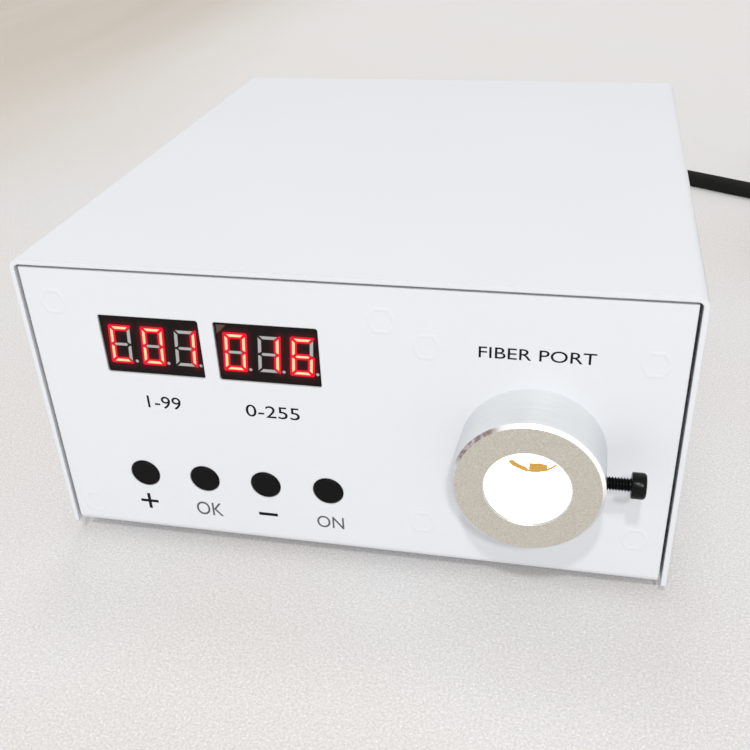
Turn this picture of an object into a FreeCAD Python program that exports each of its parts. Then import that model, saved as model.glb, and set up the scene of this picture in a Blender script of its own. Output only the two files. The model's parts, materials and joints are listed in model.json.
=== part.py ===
import FreeCAD, Part
import math
import os
import Sketcher

# Fiber optic illuminator: a bench light source in a folded steel case.
# Lengths are in millimetres. +X is right as seen from the front, +Y runs from the front panel
# to the rear panel, +Z is up. The origin lies on the bench under the middle of the instrument.

Vector = FreeCAD.Vector
doc = FreeCAD.newDocument("illuminator")
sheet = doc.addObject("Spreadsheet::Sheet", "Sizes")

SIZES = [
    # Case of two folded steel sheets
    ("case_width", 146.0, "across the cover"),
    ("case_depth", 162.5, "front edge to rear edge of the cover"),
    ("case_height", 72.0, "bottom to top of the cover, without the feet"),
    ("skin", 1.2, "steel sheet"),
    ("bend", 2.3, "outer radius of a fold"),
    ("panel_recess", 0.4, "front panel behind the cover's front edge"),
    ("panel_gap", 0.7, "shadow gap between a panel and the cover"),
    ("lip_height", 12.0, "side lips of the chassis"),
    ("lip_inset", 12.0, "side lips end this far from the cover's edges"),
    ("vent_width", 2.6, "side vent slot"),
    ("vent_height", 30.0, "side vent slot"),
    ("vent_pitch", 6.0, "side vent slots"),
    ("vent_start", 62.0, "first side vent from the front"),
    ("vent_rise", 26.0, "side vents above the case's bottom"),
    ("exhaust_pitch", 6.0, "rear slots behind the fan"),
    ("exhaust_width", 3.0, "rear slot"),
    ("exhaust_height", 36.0, "rear slot"),
    # Screws, nuts and fits
    ("screw_radius", 1.5, "M3 screw or stud"),
    ("screw_head_radius", 2.75, "M3 head"),
    ("screw_head_height", 1.7, "pan head"),
    ("thread_gap", 0.05, "play of a screw in its thread"),
    ("hole_gap", 0.2, "play of a screw in a plain hole"),
    ("nut_height", 2.4, "M3 nut"),
    ("nut_width", 5.5, "M3 nut across flats"),
    ("running_gap", 0.05, "play of a shaft in its bearing"),
    ("cover_screw_rise", 7.0, "cover screws above the case's bottom"),
    ("cover_screw_inset", 40.0, "cover screws from the case's ends"),
    ("cover_screw_length", 6.0, "under the head"),
    # Feet
    ("foot_height", 3.5, "rubber foot"),
    ("foot_radius", 6.5, "rubber foot at the case"),
    ("foot_taper", 0.6, "foot is this much smaller on the bench"),
    ("foot_side", 15.0, "foot centre from the case's side"),
    ("foot_inset", 20.0, "foot centre from the case's front and rear"),
    ("foot_socket", 1.6, "depth of the foot's screw recess"),
    # Light port
    ("port_side", 31.5, "light port from the case's right side"),
    ("port_rise", 33.4, "light port above the case's bottom"),
    ("port_radius", 8.85, "bore that takes the light guide"),
    ("port_lead", 0.25, "chamfer at the bore's mouth"),
    ("collar_radius", 15.65, "collar outside"),
    ("collar_length", 13.9, "collar in front of the panel"),
    ("collar_chamfer", 0.75, "front edge of the collar"),
    ("collar_screw_circle", 12.6, "screws that hold the collar"),
    ("collar_screw_length", 9.0, "under the head"),
    ("clamp_setback", 5.1, "clamp screw behind the collar's face"),
    ("clamp_length", 11.5, "clamp screw under its head"),
    ("clamp_head_height", 3.0, "socket head"),
    ("clamp_tip_gap", 0.15, "open clamp screw's tip behind the bore's wall"),
    ("hex_key", 2.5, "hexagon socket across flats"),
    ("hex_depth", 1.6, "hexagon socket"),
    # Lamp behind the port
    ("stud_half", 23.0, "lamp studs from the port's axis"),
    ("stud_end", 1.0, "studs beyond their nuts, and threads beyond their screws"),
    ("lamp_space", 4.0, "panel to heat sink"),
    ("sink_side", 52.0, "heat sink, square"),
    ("sink_base", 4.0, "heat sink's base"),
    ("fin_height", 24.0, "fins behind the base"),
    ("fin_thickness", 1.5, "fin"),
    ("led_board_radius", 10.0, "round board"),
    ("led_board_thickness", 1.6, "round board"),
    ("led_radius", 5.2, "emitter package"),
    ("led_thickness", 0.5, "emitter package"),
    ("phosphor_side", 4.6, "square phosphor"),
    ("phosphor_thickness", 0.3, "square phosphor"),
    ("reflector_radius", 9.2, "white ring round the emitter"),
    # Fan on the fins
    ("fan_side", 40.0, "fan frame, square"),
    ("fan_depth", 10.0, "fan frame"),
    ("fan_hole_pitch", 32.0, "fan's screw holes"),
    ("fan_bore_radius", 18.8, "air passage"),
    ("fan_tip_gap", 0.6, "blade tip to the air passage"),
    ("hub_radius", 9.0, "rotor cup"),
    ("hub_wall", 1.2, "rotor cup"),
    ("shaft_radius", 1.0, "rotor shaft"),
    ("sleeve_radius", 3.0, "bearing sleeve"),
    ("sleeve_length", 7.0, "bearing sleeve"),
    ("motor_start", 3.5, "motor ring behind the fins' ends"),
    ("motor_length", 4.2, "motor ring"),
    ("motor_gap", 1.2, "motor ring inside the rotor cup"),
    ("vane_thickness", 0.72, "fan blade"),
    ("vane_root", 0.24, "blade let into the rotor cup"),
    ("vane_root_half", 3.0, "half a blade's width at the cup"),
    ("vane_tip_half", 4.7, "half a blade's width at its tip"),
    ("vane_root_inset", 0.35, "blade's root inside the cup's ends"),
    ("vane_tip_inset", 1.5, "blade's tip inside the cup's ends"),
    ("fan_screw_length", 18.0, "under the head"),
    # Front board with displays and keys
    ("stud_side", 7.7, "left board studs from the case's side"),
    ("board_clearance", 2.0, "front board to the heat sink"),
    ("stud_low", 6.7, "lower board studs above the case's bottom"),
    ("stud_drop", 9.6, "upper board studs below the case's top"),
    ("board_margin", 4.2, "board's edge beyond its studs"),
    ("board_thickness", 1.6, "circuit board"),
    ("display_left", -42.9, "left display's centre"),
    ("display_right", -16.1, "right display's centre"),
    ("display_drop", 19.55, "displays below the case's top"),
    ("display_width", 23.0, "three-digit module"),
    ("display_height", 14.0, "three-digit module"),
    ("display_depth", 7.0, "three-digit module"),
    ("display_recess", 0.3, "display's face behind the panel's face"),
    ("window_gap", 0.2, "panel window round a display"),
    ("window_corner", 0.6, "window's corner radius"),
    ("digit_pitch", 7.6, "digit to digit"),
    ("digit_height", 9.14, "over the segments"),
    ("digit_width", 5.0, "over the segments"),
    ("digit_slant", 0.08, "sideways lean for each unit of height"),
    ("segment_width", 1.0, "segment"),
    ("segment_gap", 0.16, "between neighbouring segments"),
    ("segment_depth", 0.4, "segment let into the face"),
    ("point_radius", 0.5, "decimal point"),
    ("point_shift", 3.1, "decimal point right of its digit's middle"),
    ("digit_shift", 0.2, "digits right of the module's middle"),
    ("key_first", -50.66, "first key's centre"),
    ("key_pitch", 15.24, "key to key"),
    ("key_rise", 17.2, "keys above the case's bottom"),
    ("key_radius", 3.5, "round key"),
    ("key_gap", 0.2, "panel hole round a key"),
    ("key_proud", 0.25, "key in front of the panel"),
    ("key_thickness", 2.65, "key cap"),
    ("key_stem_radius", 1.8, "key stem"),
    ("key_stem_length", 2.8, "key stem"),
    ("key_travel", 0.3, "push"),
    ("stem_gap", 0.3, "stem of a pushed key above the well's floor"),
    ("switch_side", 12.0, "key switch, square"),
    ("switch_depth", 4.2, "key switch"),
    ("chip_side", 10.0, "square chip on the board's back"),
    ("chip_thickness", 1.6, "square chip"),
    ("chip_rise", 19.0, "square chip above the keys' centres"),
    ("header_rise", 10.0, "header above the keys' centres"),
    ("header_width", 16.0, "header for the inner wires"),
    ("header_height", 8.0, "header"),
    ("header_depth", 8.0, "header"),
    ("header_wall", 2.0, "header's floor"),
    ("header_side", 1.0, "header's sides"),
    ("header_pitch", 4.5, "cable to cable in the header"),
    # Power supply
    ("supply_side", 7.0, "supply board from the case's left side"),
    ("supply_setback", 20.9, "supply board in front of the rear panel"),
    ("supply_width", 58.0, "supply board across"),
    ("supply_length", 88.0, "supply board front to rear"),
    ("supply_lift", 5.0, "spacers under the supply board"),
    ("supply_margin", 4.0, "spacers from the board's edges"),
    ("spacer_width", 5.5, "hexagonal spacer across flats"),
    ("supply_grip", 4.0, "supply screws in their spacers"),
    ("transformer_x", 14.0, "from the supply board's left edge"),
    ("transformer_y", 30.0, "from the supply board's front edge"),
    ("transformer_width", 28.0, "core"),
    ("transformer_length", 24.0, "core"),
    ("transformer_height", 20.0, "core"),
    ("transformer_leg", 4.0, "core"),
    ("winding_overhang", 3.0, "winding beyond the core"),
    ("spool_radius", 2.5, "hole through the winding"),
    ("mains_can_x", 45.0, "from the supply board's left edge"),
    ("mains_can_y", 66.0, "from the supply board's front edge"),
    ("mains_can_radius", 8.0, "mains capacitor"),
    ("mains_can_height", 25.0, "mains capacitor"),
    ("output_can_x", 12.0, "first, from the supply board's left edge"),
    ("output_can_y", 16.0, "from the supply board's front edge"),
    ("output_can_pitch", 13.0, "output capacitors"),
    ("output_can_radius", 5.0, "output capacitor"),
    ("output_can_height", 20.0, "output capacitor"),
    ("mains_terminal_x", 14.0, "from the supply board's left edge"),
    ("mains_terminal_y", 78.0, "from the supply board's front edge"),
    ("output_terminal_x", 20.0, "from the supply board's left edge"),
    ("output_terminal_y", 1.0, "from the supply board's front edge"),
    ("terminal_pitch", 6.0, "wire ways"),
    ("terminal_side", 4.0, "outer wire ways from the block's ends"),
    ("terminal_depth", 8.0, "terminal block"),
    ("terminal_height", 10.0, "terminal block"),
    ("terminal_way_depth", 6.0, "wire way"),
    ("terminal_way_radius", 1.6, "wire way"),
    ("fuse_x", 8.0, "from the supply board's left edge"),
    ("fuse_y", 68.0, "from the supply board's front edge"),
    ("fuse_rise", 5.5, "axis above the supply board"),
    ("fuse_length", 20.0, "glass fuse"),
    ("fuse_radius", 2.5, "glass fuse"),
    ("clip_width", 5.0, "fuse clip"),
    ("clip_wall", 0.6, "fuse clip"),
    ("clip_inset", 1.0, "fuse clips from the fuse's ends"),
    ("clip_mouth_half", 1.8, "half the clip's mouth"),
    ("cooler_x", 52.0, "from the supply board's left edge"),
    ("cooler_y", 24.0, "from the supply board's front edge"),
    ("cooler_thickness", 2.0, "cooling plate"),
    ("cooler_length", 30.0, "cooling plate"),
    ("cooler_height", 24.0, "cooling plate"),
    ("transistor_thickness", 4.5, "transistor"),
    ("transistor_width", 10.0, "transistor"),
    ("transistor_height", 15.0, "transistor"),
    ("transistor_rise", 4.0, "transistor above the supply board"),
    ("transistor_setback", 10.0, "transistor behind the cooling plate's front edge"),
    # Rear panel
    ("rocker_side", 49.0, "power switch from the case's left side"),
    ("rocker_rise", 44.0, "power switch above the case's bottom"),
    ("bezel_width", 15.0, "power switch bezel"),
    ("bezel_height", 21.0, "power switch bezel"),
    ("bezel_depth", 1.6, "power switch bezel"),
    ("housing_width", 13.0, "power switch behind the panel"),
    ("housing_height", 19.0, "power switch behind the panel"),
    ("housing_depth", 14.0, "power switch behind the panel"),
    ("rocker_width", 10.4, "rocker"),
    ("rocker_half", 7.4, "half the rocker's height"),
    ("rocker_face", 4.2, "rocker's ends above its pivot"),
    ("rocker_dip", 3.0, "rocker's middle above its pivot"),
    ("rocker_tilt", 12.0, "degrees either side of the middle"),
    ("pivot_depth", 3.2, "rocker's pivot behind the bezel's face"),
    ("pivot_radius", 1.2, "rocker's pivot"),
    ("pivot_length", 0.8, "rocker's pivot in each side of its housing"),
    ("rocker_swing", 1.26, "room for the rocker's tilt, above and below"),
    ("rocker_flank", 3.2, "straight part of the rocker's ends"),
    ("mains_wire_radius", 1.1, "insulated mains wire"),
    ("signal_wire_radius", 0.8, "sleeved two-core cable"),
    ("gland_side", 23.0, "cord gland from the case's left side"),
    ("gland_rise", 18.0, "cord gland above the case's bottom"),
    ("lead_step", 1.0, "the inner wires' bends lie whole or part steps apart"),
    ("gland_radius", 6.4, "gland in the rear panel's hole"),
    ("gland_flange", 9.0, "gland's flange radius"),
    ("gland_inside", 6.0, "gland inside the rear panel"),
    ("gland_rim", 2.0, "gland's flange"),
    ("gland_edge", 0.8, "bevel of the gland's inner end and flange"),
    ("sleeve_wall", 1.2, "rubber round the cord at the end of a sleeve"),
    ("tab_length", 7.0, "power switch's tab"),
    ("tab_thickness", 0.8, "power switch's tab"),
    ("tab_half", 3.0, "half a tab's height"),
    ("tab_pitch", 3.5, "tab to tab"),
    ("tab_first", -4.6, "first tab's middle from the switch's"),
    ("earth_side", 14.0, "earth stud from the gland"),
    ("earth_inset", 10.0, "earth stud inside the rear panel"),
    ("earth_stud_length", 9.0, "earth stud"),
    ("earth_reach", 6.4, "earth wire's end from its stud"),
    ("earth_tag_thickness", 1.0, "earth tag"),
    ("earth_ring_radius", 3.4, "earth tag's ring"),
    ("earth_tag_half", 1.8, "half the earth tag's width"),
    ("gland_length", 30.0, "tapered sleeve behind the flange"),
    ("groove_width", 2.0, "bending grooves of the sleeve"),
    # Mains cord
    ("cord_radius", 3.35, "round three-core cord"),
    ("coil_inner", 27.0, "innermost turn's radius"),
    ("coil_pitch", 7.3, "turn to turn, and layer to layer"),
    ("tail_length", 56.0, "coil's end to the plug"),
    ("tail_bow", 3.0, "plug beside the coil's end"),
    ("plug_half_width", 13.0, "plug"),
    ("plug_rounding", 5.0, "plug's long edges"),
    ("plug_half_height", 12.3, "plug"),
    ("plug_length", 36.0, "plug without its sleeve"),
    ("plug_sleeve", 24.0, "tapered sleeve of the plug"),
    ("plug_joint", 2.0, "sleeve let into the plug"),
    ("plug_neck_radius", 9.1, "sleeve where it meets the plug"),
    ("plug_shoulder", 3.0, "rounding of the plug's end"),
    ("earth_pin_reach", 2.0, "earth pin longer than the blades"),
    ("blade_length", 16.0, "plug's blades"),
    ("blade_width", 6.3, "plug's blades"),
    ("blade_thickness", 1.5, "plug's blades"),
    ("blade_side", 6.35, "blades from the plug's middle"),
    ("blade_rise", 4.5, "blades above the plug's middle"),
    ("earth_pin_drop", 11.9, "earth pin below the blades"),
    ("earth_pin_radius", 2.4, "earth pin"),
]


class Size:
    """A length that carries its number and the formula by which the sheet works it out."""

    def __init__(self, formula, number):
        self.formula = formula
        self.number = number

    @staticmethod
    def of(thing):
        return thing if isinstance(thing, Size) else Size(f"({float(thing)!r})", float(thing))

    def joined(self, sign, other, number):
        return Size(f"({self.formula} {sign} {other.formula})", number)

    def __add__(self, other):
        other = Size.of(other)
        return self.joined("+", other, self.number + other.number)

    def __sub__(self, other):
        other = Size.of(other)
        return self.joined("-", other, self.number - other.number)

    def __mul__(self, other):
        other = Size.of(other)
        return self.joined("*", other, self.number * other.number)

    def __truediv__(self, other):
        other = Size.of(other)
        return self.joined("/", other, self.number / other.number)

    def __radd__(self, other):
        return Size.of(other) + self

    def __rsub__(self, other):
        return Size.of(other) - self

    def __rmul__(self, other):
        return Size.of(other) * self

    def __neg__(self):
        return Size.of(0) - self

    def __float__(self):
        return self.number


class SizeTable:
    """The sheet's named sizes as attributes."""


s = SizeTable()
for row, (alias, number, note) in enumerate(SIZES, start=1):
    sheet.set(f"A{row}", note)
    sheet.set(f"B{row}", str(number))
    sheet.setAlias(f"B{row}", alias)
    setattr(s, alias, Size(f"Sizes.{alias}", number))
doc.recompute()


def sine(degrees):
    return Size(f"sin({degrees.formula} * 1 deg)", math.sin(math.radians(degrees.number)))


def cosine(degrees):
    return Size(f"cos({degrees.formula} * 1 deg)", math.cos(math.radians(degrees.number)))


# Places that several pieces share. Until a piece is finished, y is counted from the cover's front edge.
half_width = s.case_width / 2
base_z = s.foot_height
top_z = base_z + s.case_height
floor_z = base_z + s.skin
inner_x = half_width - s.skin
panel_x = inner_x - s.panel_gap
panel_top = top_z - s.skin - s.panel_gap
panel_face = s.panel_recess
panel_back = panel_face + s.skin
rear_face = s.case_depth - s.panel_recess
rear_inside = rear_face - s.skin
port_x = half_width - s.port_side
port_z = base_z + s.port_rise
sink_face = panel_back + s.lamp_space
fins_end = sink_face + s.sink_base + s.fin_height
fan_end = fins_end + s.fan_depth
board_face = panel_face + s.display_recess + s.display_depth
board_back = board_face + s.board_thickness
board_right = port_x - s.sink_side / 2 - s.board_clearance
stud_left = s.stud_side - half_width
stud_right = board_right - s.board_margin
stud_low_z = base_z + s.stud_low
stud_high_z = top_z - s.stud_drop
display_z = top_z - s.display_drop
key_z = base_z + s.key_rise
supply_left = s.supply_side - half_width
supply_front = rear_inside - s.supply_setback - s.supply_length
supply_z = floor_z + s.supply_lift
supply_top = supply_z + s.board_thickness
rocker_x = s.rocker_side - half_width
rocker_z = base_z + s.rocker_rise
gland_x = s.gland_side - half_width
gland_z = base_z + s.gland_rise
pivot_y = rear_face + s.bezel_depth - s.pivot_depth
rear_reach = pivot_y + s.rocker_face * cosine(s.rocker_tilt) + s.rocker_half * sine(s.rocker_tilt)
front_reach = panel_face - s.collar_length
shift_y = -(rear_reach + front_reach) / 2
clamp_y = front_reach + s.clamp_setback
clamp_seat = port_x + s.port_radius + s.clamp_tip_gap + s.clamp_length


def bind(thing, prop, size):
    thing.setExpression(prop, Size.of(size).formula)


def place(thing, spot):
    for letter, size in zip("xyz", spot):
        bind(thing, f"Placement.Base.{letter}", size)


# Simple solids
TURNS = {
    "x": FreeCAD.Rotation(Vector(0, 1, 0), 90),
    "y": FreeCAD.Rotation(Vector(1, 0, 0), -90),
    "z": FreeCAD.Rotation(),
}


def box(name, low, high):
    solid = doc.addObject("Part::Box", name)
    for side, start, end in zip(("Length", "Width", "Height"), low, high):
        bind(solid, side, end - start)
    place(solid, low)
    return solid


def rod(name, axis, start, length, radius):
    solid = doc.addObject("Part::Cylinder", name)
    bind(solid, "Radius", radius)
    bind(solid, "Height", length)
    solid.Placement = FreeCAD.Placement(Vector(), TURNS[axis])
    place(solid, start)
    return solid


def cone(name, axis, start, length, radius, end_radius):
    solid = doc.addObject("Part::Cone", name)
    bind(solid, "Radius1", radius)
    bind(solid, "Radius2", end_radius)
    bind(solid, "Height", length)
    solid.Placement = FreeCAD.Placement(Vector(), TURNS[axis])
    place(solid, start)
    return solid


def hexagon(name, axis, start, length, across):
    solid = doc.addObject("Part::Prism", name)
    solid.Polygon = 6
    bind(solid, "Circumradius", across / math.sqrt(3))
    bind(solid, "Height", length)
    solid.Placement = FreeCAD.Placement(Vector(), TURNS[axis])
    place(solid, start)
    return solid


def group(name, solids):
    together = doc.addObject("Part::Compound", name)
    together.Links = solids
    return together


def cut(name, base, *tools):
    result = doc.addObject("Part::Cut", name)
    result.Base = base
    result.Tool = tools[0] if len(tools) == 1 else group(f"{name}_tools", list(tools))
    return result


def fuse(name, *solids):
    result = doc.addObject("Part::MultiFuse", name)
    result.Shapes = list(solids)
    return result


def along(axis, spot, step):
    """The spot moved by a step along one axis."""
    place_of = "xyz".index(axis)
    return tuple(size + step if i == place_of else size for i, size in enumerate(spot))


def screw(name, axis, way, seat, length, head_height=s.screw_head_height):
    """A screw whose head sits at seat and whose shank runs way (1 or -1) along the axis."""
    shank_start = seat if way > 0 else along(axis, seat, -length)
    head_start = along(axis, seat, -head_height) if way > 0 else seat
    shank = rod(f"{name}_shank", axis, shank_start, length, s.screw_radius)
    head = rod(f"{name}_head", axis, head_start, head_height, s.screw_head_radius)
    return fuse(name, shank, head)


def nut(name, axis, start):
    body = hexagon(f"{name}_hexagon", axis, start, s.nut_height, s.nut_width)
    thread = rod(f"{name}_thread", axis, start, s.nut_height, s.screw_radius + s.thread_gap)
    return cut(name, body, thread)


def spacer(name, axis, start, length, bore):
    outside = hexagon(f"{name}_outside", axis, start, length, s.spacer_width)
    return cut(name, outside, rod(f"{name}_bore", axis, start, length, bore))


# Bodies drawn on sketches
def new_body(name):
    return doc.addObject("PartDesign::Body", name)


def sketch_on(body, name, role, offset=None):
    plane = next(item for item in body.Origin.OriginFeatures if item.Role == role)
    sketch = body.newObject("Sketcher::SketchObject", name)
    sketch.AttachmentSupport = [(plane, "")]
    sketch.MapMode = "FlatFace"
    if offset is not None:
        bind(sketch, "AttachmentOffset.Base.z", offset)
    return sketch


def hold(sketch, kind, *parts):
    """A driving constraint whose last part is a size of the sheet."""
    size = Size.of(parts[-1])
    number = sketch.addConstraint(Sketcher.Constraint(kind, *parts[:-1], size.number))
    bind(sketch, f"Constraints[{number}]", size)


def outline(sketch, points):
    """A closed outline of straight lines through points of the sheet's sizes."""
    spots = [(Size.of(u), Size.of(v)) for u, v in points]
    first = sketch.GeometryCount
    count = len(spots)
    for i, (u, v) in enumerate(spots):
        next_u, next_v = spots[(i + 1) % count]
        line = Part.LineSegment(Vector(u.number, v.number, 0), Vector(next_u.number, next_v.number, 0))
        sketch.addGeometry(line, False)
    for i in range(count):
        sketch.addConstraint(Sketcher.Constraint("Coincident", first + i, 2, first + (i + 1) % count, 1))
    for i, (u, v) in enumerate(spots):
        hold(sketch, "DistanceX", -1, 1, first + i, 1, u)
        hold(sketch, "DistanceY", -1, 1, first + i, 1, v)


def rectangle(sketch, low, high):
    outline(sketch, [low, (high[0], low[1]), high, (low[0], high[1])])


def circle(sketch, centre, radius):
    u, v = (Size.of(size) for size in centre)
    number = sketch.addGeometry(Part.Circle(Vector(u.number, v.number, 0), Vector(0, 0, 1), float(radius)))
    hold(sketch, "DistanceX", -1, 1, number, 3, u)
    hold(sketch, "DistanceY", -1, 1, number, 3, v)
    hold(sketch, "Radius", number, radius)


def pad(body, name, sketch, length, midplane=False, backwards=False):
    feature = body.newObject("PartDesign::Pad", name)
    feature.Profile = sketch
    feature.Midplane = midplane
    feature.Reversed = backwards
    bind(feature, "Length", length)
    return feature


def pocket(body, name, sketch, length, midplane=False, backwards=False):
    feature = body.newObject("PartDesign::Pocket", name)
    feature.Profile = sketch
    feature.Midplane = midplane
    feature.Reversed = backwards
    bind(feature, "Length", length)
    return feature


def revolve(body, name, sketch, axis="H_Axis"):
    feature = body.newObject("PartDesign::Revolution", name)
    feature.Profile = sketch
    feature.ReferenceAxis = (sketch, [axis])
    feature.Angle = 360.0
    return feature


def row_of(body, name, feature, sketch, count, length, axis="H_Axis"):
    pattern = body.newObject("PartDesign::LinearPattern", name)
    pattern.Originals = [feature]
    pattern.Direction = (sketch, [axis])
    pattern.Occurrences = count
    bind(pattern, "Length", length)
    body.Tip = pattern
    return pattern


def ring_of(body, name, feature, sketch, count, axis="N_Axis"):
    pattern = body.newObject("PartDesign::PolarPattern", name)
    pattern.Originals = [feature]
    pattern.Axis = (sketch, [axis])
    pattern.Angle = 360.0
    pattern.Occurrences = count
    body.Tip = pattern
    return pattern


def edges_along(shape, axis, spots):
    """Names of the straight edges along an axis that pass through the given cross-section spots."""
    others = [i for i in range(3) if i != "xyz".index(axis)]
    names = []
    for number, edge in enumerate(shape.Edges, start=1):
        middle = edge.CenterOfMass
        ends = [vertex.Point for vertex in edge.Vertexes]
        straight = len(ends) == 2 and all(abs(ends[0][i] - ends[1][i]) < 1e-4 for i in others)
        for spot in spots:
            near = all(abs(middle[i] - float(size)) < 1e-3 for i, size in zip(others, spot))
            if straight and near:
                names.append(f"Edge{number}")
    return names


def fillet(body, name, feature, edges, radius):
    round_off = body.newObject("PartDesign::Fillet", name)
    round_off.Base = (feature, edges)
    bind(round_off, "Radius", radius)
    return round_off


# Finished pieces
pieces = []


def piece(label, solid):
    """Names a finished piece and moves it from the case's front edge to the part's own origin."""
    if solid.TypeId in ("Part::Box", "Part::Cylinder", "Part::Cone", "Part::Prism"):
        solid = group(f"{label}_single", [solid])
    bind(solid, "Placement.Base.y", shift_y)
    solid.Label = label
    pieces.append(solid)
    return solid


def piece_at(label, body, spot):
    """Names a finished piece that was drawn about its own centre, and puts it in its place."""
    place(body, along("y", spot, shift_y))
    body.Label = label
    pieces.append(body)
    return body


def shaped_piece(label, shape):
    """A finished piece whose shape is already in the part's own frame."""
    solid = doc.addObject("Part::Feature", f"{label}_shape")
    solid.Shape = shape
    solid.Label = label
    pieces.append(solid)
    return solid


BEYOND = 1.0  # a cutting tool runs this far past what it cuts
VENTS = 8  # slots in each side, and as many behind the fan


# Cover: an inverted channel, folded from one sheet
def make_cover():
    body = new_body("cover_body")
    profile = sketch_on(body, "cover_profile", "XZ_Plane")
    low_in = top_z - s.skin
    outline(profile, [
        (-half_width, base_z), (-half_width, top_z), (half_width, top_z), (half_width, base_z),
        (inner_x, base_z), (inner_x, low_in), (-inner_x, low_in), (-inner_x, base_z),
    ])
    sheet_metal = pad(body, "cover_sheet", profile, s.case_depth, backwards=True)
    doc.recompute()
    outer = edges_along(sheet_metal.Shape, "y", [(-half_width, top_z), (half_width, top_z)])
    folded = fillet(body, "cover_outer_folds", sheet_metal, outer, s.bend)
    doc.recompute()
    inner = edges_along(folded.Shape, "y", [(-inner_x, low_in), (inner_x, low_in)])
    fillet(body, "cover_inner_folds", folded, inner, s.bend - s.skin)
    slot = sketch_on(body, "cover_slot", "YZ_Plane")
    low_z = base_z + s.vent_rise
    rectangle(slot, (s.vent_start, low_z), (s.vent_start + s.vent_width, low_z + s.vent_height))
    slot_cut = pocket(body, "cover_slot_cut", slot, s.case_width + 2 * BEYOND, midplane=True)
    doc.recompute()
    row_of(body, "cover_slots", slot_cut, slot, VENTS, s.vent_pitch * (VENTS - 1))
    holes = sketch_on(body, "cover_screw_places", "YZ_Plane")
    for y in (s.cover_screw_inset, s.case_depth - s.cover_screw_inset):
        circle(holes, (y, base_z + s.cover_screw_rise), s.screw_radius + s.hole_gap)
    pocket(body, "cover_screw_holes", holes, s.case_width + 2 * BEYOND, midplane=True)
    piece("cover", body)


# Chassis: front panel, floor and rear panel in one channel, with two side lips for the cover's screws
def window_outline(sketch, centre_x):
    half_w = s.display_width / 2 + s.window_gap
    half_h = s.display_height / 2 + s.window_gap
    rectangle(sketch, (centre_x - half_w, display_z - half_h), (centre_x + half_w, display_z + half_h))


def make_chassis():
    body = new_body("chassis_body")
    profile = sketch_on(body, "chassis_profile", "YZ_Plane")
    outline(profile, [
        (panel_face, base_z), (rear_face, base_z), (rear_face, panel_top), (rear_inside, panel_top),
        (rear_inside, floor_z), (panel_back, floor_z), (panel_back, panel_top), (panel_face, panel_top),
    ])
    channel = pad(body, "chassis_channel", profile, panel_x * 2, midplane=True)
    doc.recompute()
    outer = edges_along(channel.Shape, "x", [(panel_face, base_z), (rear_face, base_z)])
    folded = fillet(body, "chassis_outer_folds", channel, outer, s.bend)
    doc.recompute()
    inner = edges_along(folded.Shape, "x", [(panel_back, floor_z), (rear_inside, floor_z)])
    fillet(body, "chassis_inner_folds", folded, inner, s.bend - s.skin)
    lip_start = s.lip_inset
    lip_end = s.case_depth - s.lip_inset
    lips = sketch_on(body, "lip_outline", "YZ_Plane")
    rectangle(lips, (lip_start, base_z), (lip_end, base_z + s.lip_height))
    pad(body, "lips", lips, inner_x * 2, midplane=True)
    tray = sketch_on(body, "tray_outline", "YZ_Plane")
    rectangle(tray, (lip_start, floor_z), (lip_end, base_z + s.lip_height + BEYOND))
    pocket(body, "tray", tray, (inner_x - s.skin) * 2, midplane=True)
    front = sketch_on(body, "front_openings", "XZ_Plane")
    for centre_x in (s.display_left, s.display_right):
        window_outline(front, centre_x)
    for i in range(4):
        circle(front, (s.key_first + s.key_pitch * i, key_z), s.key_radius + s.key_gap)
    circle(front, (port_x, port_z), s.port_radius + s.port_lead)
    for x, z in collar_screw_spots():
        circle(front, (x, z), s.screw_radius + s.hole_gap)
    pocket(body, "front_cut", front, panel_back + BEYOND)
    rear = sketch_on(body, "rear_openings", "XZ_Plane", offset=-(rear_face + BEYOND))
    half_w = s.housing_width / 2 + s.hole_gap
    half_h = s.housing_height / 2 + s.hole_gap
    rectangle(rear, (rocker_x - half_w, rocker_z - half_h), (rocker_x + half_w, rocker_z + half_h))
    circle(rear, (gland_x, gland_z), s.gland_radius + s.hole_gap)
    pocket(body, "rear_cut", rear, s.skin + 2 * BEYOND, backwards=True)
    slot = sketch_on(body, "exhaust_slot", "XZ_Plane", offset=-(rear_face + BEYOND))
    slot_x = port_x - s.exhaust_pitch * (VENTS - 1) / 2
    low = (slot_x - s.exhaust_width / 2, port_z - s.exhaust_height / 2)
    rectangle(slot, low, (slot_x + s.exhaust_width / 2, port_z + s.exhaust_height / 2))
    slot_cut = pocket(body, "exhaust_slot_cut", slot, s.skin + 2 * BEYOND, backwards=True)
    doc.recompute()
    row_of(body, "exhaust_slots", slot_cut, slot, VENTS, s.exhaust_pitch * (VENTS - 1))
    feet = sketch_on(body, "foot_places", "XY_Plane")
    for x, y in foot_spots():
        circle(feet, (x, y), s.screw_radius + s.hole_gap)
    pocket(body, "foot_holes", feet, floor_z + BEYOND, backwards=True)
    holes = sketch_on(body, "lip_screw_places", "YZ_Plane")
    for y in (s.cover_screw_inset, s.case_depth - s.cover_screw_inset):
        circle(holes, (y, base_z + s.cover_screw_rise), s.screw_radius + s.thread_gap)
    pocket(body, "lip_screw_holes", holes, s.case_width, midplane=True)
    doc.recompute()
    corners = []
    for centre_x in (s.display_left, s.display_right):
        for side in (-1, 1):
            x = centre_x + side * (s.display_width / 2 + s.window_gap)
            for end in (-1, 1):
                corners.append((x, display_z + end * (s.display_height / 2 + s.window_gap)))
    cut_shape = body.Tip
    fillet(body, "window_corners", cut_shape, edges_along(cut_shape.Shape, "y", corners), s.window_corner)
    piece("chassis", body)


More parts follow.
